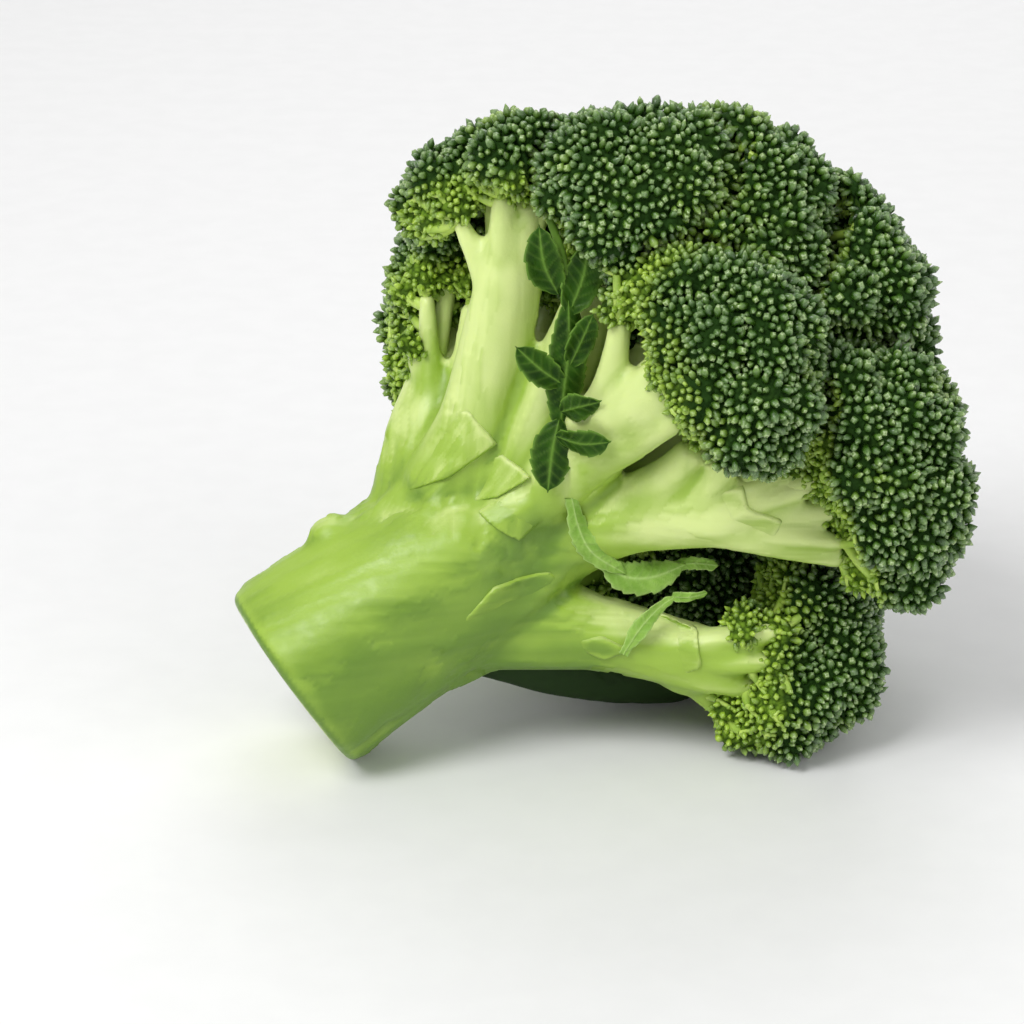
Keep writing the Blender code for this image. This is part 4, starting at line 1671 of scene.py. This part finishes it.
@dataclass
class Crown:
    """One floret's crown: a bed of lobes and curds, with a field of buds on it."""

    floret: Floret
    branching: Branching
    voxel: float = 1.25 * MM
    inset: float = 0.4 * MM
    curd: float = 10.5 * MM
    curd_height: float = 2.1 * MM
    group: float = 4.8 * MM
    group_height: float = 0.8 * MM
    floor_gap: float = 2.3 * MM
    crevice: float = 5.0 * MM
    smoothing: int = 7
    cluster_rows: tuple = ((0.12, 0.34), (0.45, 0.46), (0.8, 0.56))
    least_cluster: float = 3.5 * MM
    spacing: float = 1.50 * MM
    lean: float = 0.5
    sink: float = -0.6 * MM
    first_seed: int = 40
    seed: int = 0

    def bed(self, node: bpy.types.Object, material: bpy.types.Material) -> bpy.types.Object:
        """The bed, from a copy of the crown's solid and the clusters lower down on its stalks.

        Args:
            node: the crown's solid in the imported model.
            material: the finish of the bed.

        Returns:
            The piece.
        """
        work = bmesh.new()
        work.from_mesh(node.data)
        bmesh.ops.remove_doubles(work, verts=work.verts, dist=0.001 * MM)
        for spot, radius in self.clusters():
            ball = bmesh.ops.create_icosphere(work, subdivisions=2, radius=radius)
            bmesh.ops.translate(work, verts=ball["verts"], vec=spot)
        mesh = bpy.data.meshes.new("bed")
        work.to_mesh(mesh)
        work.free()
        obj = shown("bed_" + self.floret.place, mesh)
        remeshed(obj, self.voxel)
        smoothed(obj, self.smoothing)
        settled(obj)
        self.shaped(obj.data)
        return dressed(obj, material)

    def clusters(self) -> list:
        """The bud clusters that sit round the upper part of each stalk, and the floret's own balls.

        Returns:
            The middle and the radius of each. A cluster row gives how far along the budding part of a
            stalk a cluster lies, and its radius beside that of the lobe.
        """
        found = []
        bare = self.floret.bare
        for line, (*_, lobe_radius) in zip(self.branching.secondaries[self.floret.place], self.floret.lobes):
            for part, reach in self.cluster_rows:
                row = line[int(len(line) * (bare + (1 - bare) * part))]
                found.append((Vector(row[:3]), max(lobe_radius * reach * MM, self.least_cluster)))
        for *spot, radius in (*self.floret.tufts, *self.floret.lumps):
            found.append((Vector(laid([spot])[0]), radius * MM))
        return found

    def shaped(self, mesh: bpy.types.Mesh) -> None:
        """Raises the curds and the bud groups, and marks the rim and the underside.

        Args:
            mesh: the bed, which is still smooth.
        """
        rng = np.random.default_rng(self.seed)
        spots, out, even = positions(mesh), normals(mesh), even_pull(mesh)
        mound = self.mounds(spots, self.curd, rng)
        small = self.mounds(spots, self.group, rng)
        rim = self.rim(spots, out)
        wave = levelled(spread(mesh, rng.normal(size=len(spots)), even, 30))
        rim = np.clip(rim + 0.16 * wave * (rim > 0.02), 0, 1)
        rim = spread(mesh, rim, even, 3)
        lift = -self.inset + self.curd_height * (mound - 0.45) * (1 - 0.4 * rim)
        lift += self.group_height * (small - 0.45) - rim * 0.4 * MM
        moved = spots + out * lift[:, None]
        moved[:, 2] = np.maximum(moved[:, 2], self.floor_gap + 0.25 * (moved[:, 2] - self.floor_gap))
        move_points(mesh, moved)
        store(mesh, "rim", rim)

    def rim(self, spots: np.ndarray, out: np.ndarray) -> np.ndarray:
        """How young the buds are: fully at the rim, on the underside and on the tufts.

        Args:
            spots: the points of the bed.
            out: the outward direction at each.

        Returns:
            The share of youth at each point, from 0 to 1.
        """
        fork = self.floret.fork
        middle = spots.mean(0)
        level = (spots - middle) @ unit(middle - fork)
        low, high = np.percentile(level, (3, 97))
        facing = (out * unit(spots - fork)).sum(1)
        rim = 1 - smoothstep(0.06, self.floret.youth, (level - low) / (high - low))
        rim = np.maximum(rim * smoothstep(0.95, 0.35, facing), smoothstep(0.15, -0.35, facing))
        for *spot, radius in self.floret.tufts:
            near = np.linalg.norm(spots - laid([spot])[0], axis=1) / (radius * MM)
            rim = np.maximum(rim, 0.8 * smoothstep(1.5, 1.1, near))
        return rim

    def crowded(self, mesh: bpy.types.Mesh, others: list) -> None:
        """Leaves buds out where other crowns lie against this one, and paints shade into the crevice beside
        them by taking the young yellow-green away there.

        Args:
            mesh: this crown's bed.
            others: the meshes of the other beds.
        """
        spots = positions(mesh)
        low, high = spots.min(0) - self.crevice, spots.max(0) + self.crevice
        there, out = (np.vstack([read(other) for other in others]) for read in (positions, normals))
        close = ((there > low) & (there < high)).all(1)
        there, out = there[close], out[close]
        tree = tree_of(there)
        found = [tree.find(spot)[1:] for spot in spots]
        number = np.array([item[0] for item in found])
        gap = np.array([item[1] for item in found])
        gap[((spots - there[number]) * out[number]).sum(1) < 0] *= -1
        # Painted shade: no young yellow-green in the crevice next to another crown, so it stays dark.
        store(mesh, "rim", kept(mesh, "rim") * smoothstep(0.3 * self.crevice, self.crevice, gap))
        store(mesh, "cover", smoothstep(0.1 * self.crevice, 0.2 * self.crevice, gap))

    def mounds(self, spots: np.ndarray, gap: float, rng: np.random.Generator) -> np.ndarray:
        """How high each point lies on rounded mounds.

        Args:
            spots: the points of the bed.
            gap: the least distance between the tops of two mounds, in metres.
            rng: the random numbers.

        Returns:
            The height at each point, from about -1 between the mounds to 1 on a top.
        """
        tree = tree_of(self.scattered(spots, gap, rng))
        near = np.array([tree.find(spot)[2] for spot in spots])
        return np.clip(1 - (near / (gap * 0.62)) ** 2, -1.2, 1)

    @staticmethod
    def scattered(spots: np.ndarray, gap: float, rng: np.random.Generator) -> np.ndarray:
        """Some of the points, at random.

        Args:
            spots: the points to choose from.
            gap: no two of those chosen are nearer than this, in metres.
            rng: the random numbers.

        Returns:
            The chosen points.
        """
        chosen = []
        free = np.ones(len(spots), bool)
        for i in rng.permutation(len(spots)):
            if free[i]:
                chosen.append(spots[i])
                free &= np.linalg.norm(spots - spots[i], axis=1) > gap
        return np.array(chosen)

    def field_settings(self, material: bpy.types.Material) -> dict:
        """How the field of buds grows on this crown, by the names of its inputs."""
        return {
            "Spacing": self.spacing,
            "Size": 1.0,
            "Sink": self.sink,
            "Lean": self.lean,
            "Seed": self.first_seed + self.seed,
            "Material": material,
        }


class TwigField(Field):
    """The Geometry Nodes tree that turns lines into thin round twigs."""

    def __init__(self) -> None:
        """Builds the tree."""
        super().__init__("twig_field", (("Sides", "Int"), ("Material", "Material")))
        curve = self.node("GeometryNodeMeshToCurve")
        self.link(self.given["Geometry"], curve.inputs["Mesh"])
        ring = self.node("GeometryNodeCurvePrimitiveCircle")
        ring.inputs["Radius"].default_value = 1.0
        self.link(self.given["Sides"], ring.inputs["Resolution"])
        solid = self.node("GeometryNodeCurveToMesh")
        solid.inputs["Fill Caps"].default_value = True
        self.link(curve.outputs["Curve"], solid.inputs["Curve"])
        self.link(ring.outputs["Curve"], solid.inputs["Profile Curve"])
        self.link(self.read("radius"), solid.inputs["Scale"])
        smooth = self.node("GeometryNodeSetShadeSmooth")
        self.link(solid.outputs["Mesh"], smooth.inputs["Geometry"])
        self.finished(smooth.outputs["Geometry"])

    def grown(self, name: str, lines: list, sides: int, material: bpy.types.Material) -> bpy.types.Object:
        """Round twigs along lines, as one plain mesh.

        Args:
            name: the new piece's name.
            lines: each twig's rows of (x, y, z, radius), in metres.
            sides: how many sides a twig has.
            material: the finish.

        Returns:
            The piece.
        """
        mesh = bpy.data.meshes.new(name)
        spots = np.vstack(lines)
        pairs, start = [], 0
        for line in lines:
            pairs += [(start + i, start + i + 1) for i in range(len(line) - 1)]
            start += len(line)
        mesh.from_pydata([tuple(spot) for spot in spots[:, :3]], pairs, [])
        store(mesh, "radius", spots[:, 3])
        store(mesh, "along", np.concatenate([np.linspace(0, 1, len(line)) for line in lines]))
        return self.applied(shown(name, mesh), {"Sides": sides, "Material": material})


@dataclass(frozen=True)
class TwigSize:
    """How far apart twigs end, how long and how short they may be, and their radii at both ends."""

    gap: float
    longest: float
    first: float
    last: float
    shortest: float = 1.5 * MM

@dataclass
class Twigs:
    """The thinner stalks that run from a crown's branches to its underside, and the finer ones on them."""

    branching: Branching
    thick: TwigSize = TwigSize(5.6 * MM, 24 * MM, 1.35, 0.75)
    fine: TwigSize = TwigSize(2.9 * MM, 12 * MM, 0.62, 0.40)
    seed: int = 3

    def lines(self, floret: Floret, bed: bpy.types.Object) -> tuple:
        """The lines of the twigs under one crown.

        Args:
            floret: the floret they belong to.
            bed: its crown's bed.

        Returns:
            The thicker and the finer twigs, each as rows of (x, y, z, radius), in metres.
        """
        rng = np.random.default_rng(self.seed)
        chosen = kept(bed.data, "rim") > 0.4
        if not chosen.any():
            return [], []
        spots, out = positions(bed.data)[chosen], normals(bed.data)[chosen]
        group = self.branching.secondaries[floret.place] + self.branching.shoots[floret.place]
        carriers = np.vstack([line[int(len(line) * 0.3) :] for line in group])
        thick = self.grown(self.thick, floret.fork, spots, out, carriers, rng)
        if thick:
            carriers = np.vstack([carriers, *[line[len(line) // 3 :] for line in thick]])
        fine = self.grown(self.fine, floret.fork, spots, out, carriers, rng)
        return thick, fine

    @staticmethod
    def grown(
        sizes: TwigSize,
        fork: np.ndarray,
        spots: np.ndarray,
        out: np.ndarray,
        carriers: np.ndarray,
        rng: np.random.Generator,
    ) -> list:
        """Twigs from the carriers out to evenly scattered points.

        Args:
            sizes: how long, thick and close together they are.
            fork: where the floret's stem forks.
            spots: the points they may end at.
            out: the outward direction at each.
            carriers: rows of (x, y, z, radius) that they may start from.
            rng: the random numbers.

        Returns:
            Each twig's rows of (x, y, z, radius), in metres.
        """
        depth = np.linalg.norm(carriers[:, :3] - fork, axis=1)
        lines = []
        for end in Crown.scattered(spots, sizes.gap, rng):
            normal = out[int(np.argmin(np.linalg.norm(spots - end, axis=1)))]
            reach = np.linalg.norm(carriers[:, :3] - end, axis=1)
            # A twig runs outward: a carrier that lies nearly as far out as its end costs more.
            inward = np.maximum(depth - np.linalg.norm(end - fork) + 0.35 * reach, 0)
            root = carriers[int(np.argmin(reach + inward * 2))]
            length = np.linalg.norm(root[:3] - end)
            if not sizes.shortest < length < sizes.longest:
                continue
            away = unit(end - fork)
            middle = (root[:3] + end) / 2 - away * length * 0.05 + normal * length * 0.10
            tip = end + normal * 0.4 * MM
            size = rng.uniform(0.85, 1.15) * MM
            route = [
                (*root[:3], min(sizes.first * size, root[3] * 0.9)),
                (*middle, (sizes.first + sizes.last) / 2 * size),
                (*tip, sizes.last * size),
            ]
            lines.append(curved(np.array(route), length / 5))
        return lines


# ---------------------------------------------------------------- the leaves


@dataclass
class Leaf:
    """A leaf of one or more blades with toothed, wavy edges, grown along a round midrib."""

    blades: tuple
    midrib: tuple = ()
    thickness: float = 0.55 * MM
    teeth: float = 0.14
    tooth_gap: float = 2.6 * MM
    wave: float = 0.9 * MM
    wave_length: float = 2.1 * MM
    vein_gap: float = 2.4 * MM
    ridge: float = 0.25 * MM
    fullness: float = 0.55
    rows: int = 56
    columns: int = 17
    seed: int = 2

    def built(self, name: str, material: bpy.types.Material) -> bpy.types.Object:
        """The whole leaf as one piece.

        Args:
            name: the piece's name.
            material: its finish.

        Returns:
            The piece.
        """
        rng = np.random.default_rng(self.seed)
        meshes = [self.blade(blade, rng) for blade in self.blades]
        if self.midrib:
            mesh = tube(laid_route(self.midrib, 1 * MM), 10)
            for key, value in (("vein", 1.0), ("side_vein", 0.0), ("edge", 0.0)):
                store(mesh, key, np.full(len(mesh.vertices), value))
            meshes.append(mesh)
        obj = shown(name, joined(meshes))
        obj.data.shade_smooth()
        return dressed(obj, material)

    def blade(self, blade: Blade, rng: np.random.Generator) -> bpy.types.Mesh:
        """One blade, as a thin closed body.

        Args:
            blade: its line and sizes.
            rng: the random numbers for its waves.

        Returns:
            Its mesh, with its veins and edges kept at its points.
        """
        line = curved(np.column_stack([laid(blade.line), np.zeros(len(blade.line))]), 0.2 * MM)[:, :3]
        along = np.concatenate([[0], np.cumsum(np.linalg.norm(np.diff(line, axis=0), axis=1))])
        share = np.linspace(0, 1, self.rows)
        middle = np.column_stack([np.interp(share * along[-1], along, line[:, k]) for k in range(3)])
        ahead = unit(np.gradient(middle, axis=0))
        level = np.array(blade.across, float)
        across = unit(level - ahead * (ahead @ level)[:, None])
        up = -np.cross(across, ahead)
        swell = np.sin(np.pi * np.minimum(share * 1.03, 1)).clip(0) ** self.fullness
        taper = np.clip((1 - share) * 9 + 0.12, 0, 1)
        width = blade.half_width * MM * np.maximum(swell, blade.stalk_share) * taper
        run = share * along[-1]
        phase = rng.uniform(0, 6.28, 4)
        tooth = (run / self.tooth_gap + 0.2 * np.sin(9 * share + phase[0])) % 1.0
        side = np.linspace(-1, 1, self.columns)
        grid = []
        for reach in side:
            notch, shift = (tooth, phase[1]) if reach > 0 else ((tooth + 0.4) % 1.0, phase[2])
            rag = 1 + self.teeth * abs(reach) ** 3 * (0.9 - notch)
            lift = -width * blade.hollow * reach**2
            ruffle = self.wave * abs(reach) ** 2 * np.sin(run / self.wave_length + shift)
            row = middle + across * (width * rag * reach)[:, None]
            grid.append(row + up * (lift + ruffle * swell)[:, None])
        sheet = np.stack(grid, axis=1)
        thin = self.thickness * (0.25 + 0.75 * (1 - side**6)) / 2
        ridge = self.ridge * np.exp(-((side / 0.13) ** 2)) * np.minimum(1.4 * (1 - share), 1)[:, None]
        above = up[:, None] * (thin + ridge)[..., None]
        points = np.vstack([(sheet + above).reshape(-1, 3), (sheet - above).reshape(-1, 3)])
        mesh = mesh_of("blade", points, self.faces())
        self.marked(mesh, side, run, width)
        return mesh

    def faces(self) -> list:
        """The faces of a blade: its upper side, its lower side and the strip round its edge."""
        count = self.rows * self.columns
        number = np.arange(count).reshape(self.rows, self.columns)
        faces = []
        for i in range(self.rows - 1):
            for j in range(self.columns - 1):
                a, b, c, d = number[i, j], number[i, j + 1], number[i + 1, j + 1], number[i + 1, j]
                faces += [(a, b, c, d), (d + count, c + count, b + count, a + count)]
        loop = [*number[0, :], *number[1:, -1], *number[-1, -2::-1], *number[-2:0:-1, 0]]
        for i, a in enumerate(loop):
            b = loop[(i + 1) % len(loop)]
            faces.append((b, a, a + count, b + count))
        return [tuple(int(v) for v in face) for face in faces]

    def marked(self, mesh: bpy.types.Mesh, side: np.ndarray, run: np.ndarray, width: np.ndarray) -> None:
        """Keeps how near each point of a blade is to its midrib, a side vein and its edge.

        Args:
            mesh: the blade.
            side: how far across each column lies, from -1 to 1.
            run: how far along the blade each row lies, in metres.
            width: the half width at each row, in metres.
        """
        each_row = np.ones(self.rows)[:, None]
        midrib = np.exp(-((side[None, :] / 0.10) ** 2)) * each_row
        slant = (run[:, None] - np.abs(side)[None, :] * width[:, None] * 0.9) / self.vein_gap % 1.0
        side_vein = np.exp(-(((slant - 0.5) / 0.14) ** 2)) * (1 - np.abs(side)[None, :] ** 4)
        edge = np.abs(side)[None, :] ** 10 * each_row
        for key, values in (("vein", midrib * 0.9), ("side_vein", side_vein), ("edge", edge)):
            store(mesh, key, np.tile(values.ravel(), 2))


# ---------------------------------------------------------------- studio


@dataclass(frozen=True)
class Studio:
    """The pale floor, the soft lights and the camera, in metres and degrees, with its aim in mm."""

    distance: float = 0.70
    elevation: float = 22.0
    lens: float = 114.4
    aim: tuple = (0, 0, 54)
    floor_front: float = -2.5
    floor_start: float = 1.2
    floor_bend: float = 0.8
    floor_back: float = 2.02
    floor_top: float = 3.0
    floor_side: float = 3.5
    air: float = 0.46

    def built(self) -> None:
        """Adds all of it to the scene."""
        self.floor()
        self.light("key", (-0.60, -0.70, 1.10), 0.6, 12.5)
        self.light("fill", (0.95, -0.75, 0.60), 1.1, 4.0)
        self.light("back", (0.15, 0.95, 1.0), 1.0, 6.0)
        world = bpy.data.worlds.new("studio_air")
        world.use_nodes = True
        background = world.node_tree.nodes["Background"]
        background.inputs["Color"].default_value = (1.0, 1.0, 1.0, 1.0)
        background.inputs["Strength"].default_value = self.air
        bpy.context.scene.world = world
        bpy.context.scene.view_settings.view_transform = "Standard"
        self.camera()

    def floor(self) -> None:
        """A broad pale floor that curves up behind, as one sheet."""
        s = Shader("studio_floor")
        mottle = s.rise(s.noise(90.0, 4.0), 0.3, 0.7, 0.835, 0.85)
        tone = s.node("ShaderNodeCombineColor")
        for name in ("Red", "Green", "Blue"):
            s.link(mottle, tone.inputs[name])
        material = s.finish(tone.outputs["Color"], 0.75, Specular_IOR_Level=0.2)
        bend, start = self.floor_bend, self.floor_start
        profile = [(self.floor_front, 0.0), (start, 0.0)]
        for angle in np.linspace(0.1, 1.5, 14):
            profile.append((start + math.sin(angle) * bend, bend - math.cos(angle) * bend))
        profile.append((self.floor_back, self.floor_top))
        points = [(x, y, z) for y, z in profile for x in (-self.floor_side, self.floor_side)]
        faces = [(2 * i, 2 * i + 1, 2 * i + 3, 2 * i + 2) for i in range(len(profile) - 1)]
        floor = shown("floor", mesh_of("floor", np.array(points), faces))
        floor.data.materials.append(material)

    def light(self, name: str, place: tuple, size: float, power: float) -> None:
        """One soft square light that faces the head.

        Args:
            name: the light's name.
            place: where it stands, in metres.
            size: its side, in metres.
            power: its power, in watts.
        """
        data = bpy.data.lights.new(name, "AREA")
        data.shape = "SQUARE"
        data.size = size
        data.energy = power
        obj = bpy.data.objects.new(name, data)
        bpy.context.scene.collection.objects.link(obj)
        obj.location = place
        obj.rotation_euler = (Vector((0, 0, 0.06)) - Vector(place)).to_track_quat("-Z", "Y").to_euler()

    def camera(self) -> None:
        """The camera, low in front, looking a little down."""
        data = bpy.data.cameras.new("camera")
        data.lens = self.lens
        data.sensor_width = 36.0
        data.clip_start = 0.02
        obj = bpy.data.objects.new("camera", data)
        bpy.context.scene.collection.objects.link(obj)
        aim = Vector(laid([self.aim])[0])
        tilt = math.radians(self.elevation)
        obj.location = aim + Vector((0, -math.cos(tilt), math.sin(tilt))) * self.distance
        obj.rotation_euler = (aim - obj.location).to_track_quat("-Z", "Y").to_euler()
        bpy.context.scene.camera = obj


def handed_over(piece: bpy.types.Object, slot: Slot, *nodes: str) -> None:
    """Makes a piece ride with the head, hides the solids it stands for, and reports it.

    Args:
        piece: the piece.
        slot: its material slot; not used.
        nodes: the solids that it stands for.
    """
    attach(piece, BODY)
    if nodes:
        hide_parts(*nodes)
    LOG.info("%s: %d faces", piece.name, len(piece.data.polygons))


def stalk_grown(branching: Branching, nodes: dict, flesh: bpy.types.Material) -> None:
    """Builds the skin of the stalk, of its thin branches and of the leaf scars.

    Args:
        branching: the lines of the branches.
        nodes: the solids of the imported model, by name.
        flesh: the finish.
    """
    skin = StalkSkin(branching)
    stalks = [name for name in nodes if name == "main_stalk" or name.startswith("stem_")]
    main_skin = skin.main(flesh)
    handed_over(main_skin, Slot.FLESH, *stalks)
    for piece in (skin.forks(flesh), *skin.scars(main_skin, flesh)):
        handed_over(piece, Slot.FLESH)


def crowns_grown(branching: Branching, nodes: dict) -> None:
    """Builds the beds, the buds and the thin stalks of all the crowns.

    Args:
        branching: the lines of the branches.
        nodes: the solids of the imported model, by name.
    """
    twig, bed_finish, bud_finish = TwigFinish().made(), BedFinish().made(), BudFinish().made()
    shapes = (
        BudShape(),
        BudShape(width=1.7 * MM, height=2.8 * MM, mouth=0.34, hollow=-0.07),
        BudShape(width=1.95 * MM, height=2.4 * MM, lobing=0.18, mouth=0.52, hollow=0.06),
    )
    field, maker, twigs = BudField(), TwigField(), Twigs(branching)
    buds = {kind: shape.built(kind) for kind, shape in zip(field.kinds, shapes)}
    crowns = [Crown(floret, branching, seed=number) for number, floret in enumerate(FLORETS)]
    beds = [crown.bed(nodes["crown_" + crown.floret.place], bed_finish) for crown in crowns]
    for crown, bed in zip(crowns, beds):
        crown.crowded(bed.data, [other.data for other in beds if other is not bed])
    for crown, bed in zip(crowns, beds):
        place = crown.floret.place
        handed_over(bed, Slot.BUDS, "crown_" + place)
        settings = {**crown.field_settings(bud_finish), **buds}
        handed_over(field.grown("buds_" + place, bed, settings), Slot.BUDS)
        thick, fine = twigs.lines(crown.floret, bed)
        for name, lines, sides in (("twigs_", thick, 8), ("pedicels_", fine, 5)):
            if lines:
                handed_over(maker.grown(name + place, lines, sides, twig), Slot.FLESH)
    for bud in buds.values():
        bpy.data.objects.remove(bud)


def leaves_grown() -> None:
    """Builds the dark leaf sprig and the two pale bracts."""
    dark = LeafFinish(
        "dark_leaf",
        blade=(0.022, 0.078, 0.001),
        deep=(0.008, 0.034, 0.001),
        vein=(0.19, 0.36, 0.05),
        gloss=0.38,
    ).made()
    pale = LeafFinish(
        "pale_leaf",
        blade=(0.30, 0.50, 0.09),
        deep=(0.20, 0.38, 0.05),
        vein=(0.50, 0.68, 0.24),
        gloss=0.4,
    ).made()
    sprig = Leaf(SPRIG_BLADES, SPRIG_MIDRIB)
    upper = Leaf(UPPER_BRACT, teeth=0.22, wave=0.8 * MM)
    lower = Leaf(LOWER_BRACT, teeth=0.15)
    handed_over(sprig.built("leaf_sprig_blades", dark), Slot.LEAF, "leaf_sprig")
    handed_over(upper.built("bract_upper_blades", pale), Slot.BRACT, "bract_upper")
    handed_over(lower.built("bract_lower_blades", pale), Slot.BRACT, "bract_lower")


def main() -> None:
    """Builds the head piece by piece, and the floor, lights and camera round it."""
    logging.basicConfig(level=logging.INFO, format="%(name)s %(message)s")
    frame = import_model()
    nodes = frame["nodes"]

    branching = Branching()
    stalk_grown(branching, nodes, FleshFinish().made())
    crowns_grown(branching, nodes)
    leaves_grown()
    Studio().built()


if __name__ == "__main__":
    main()
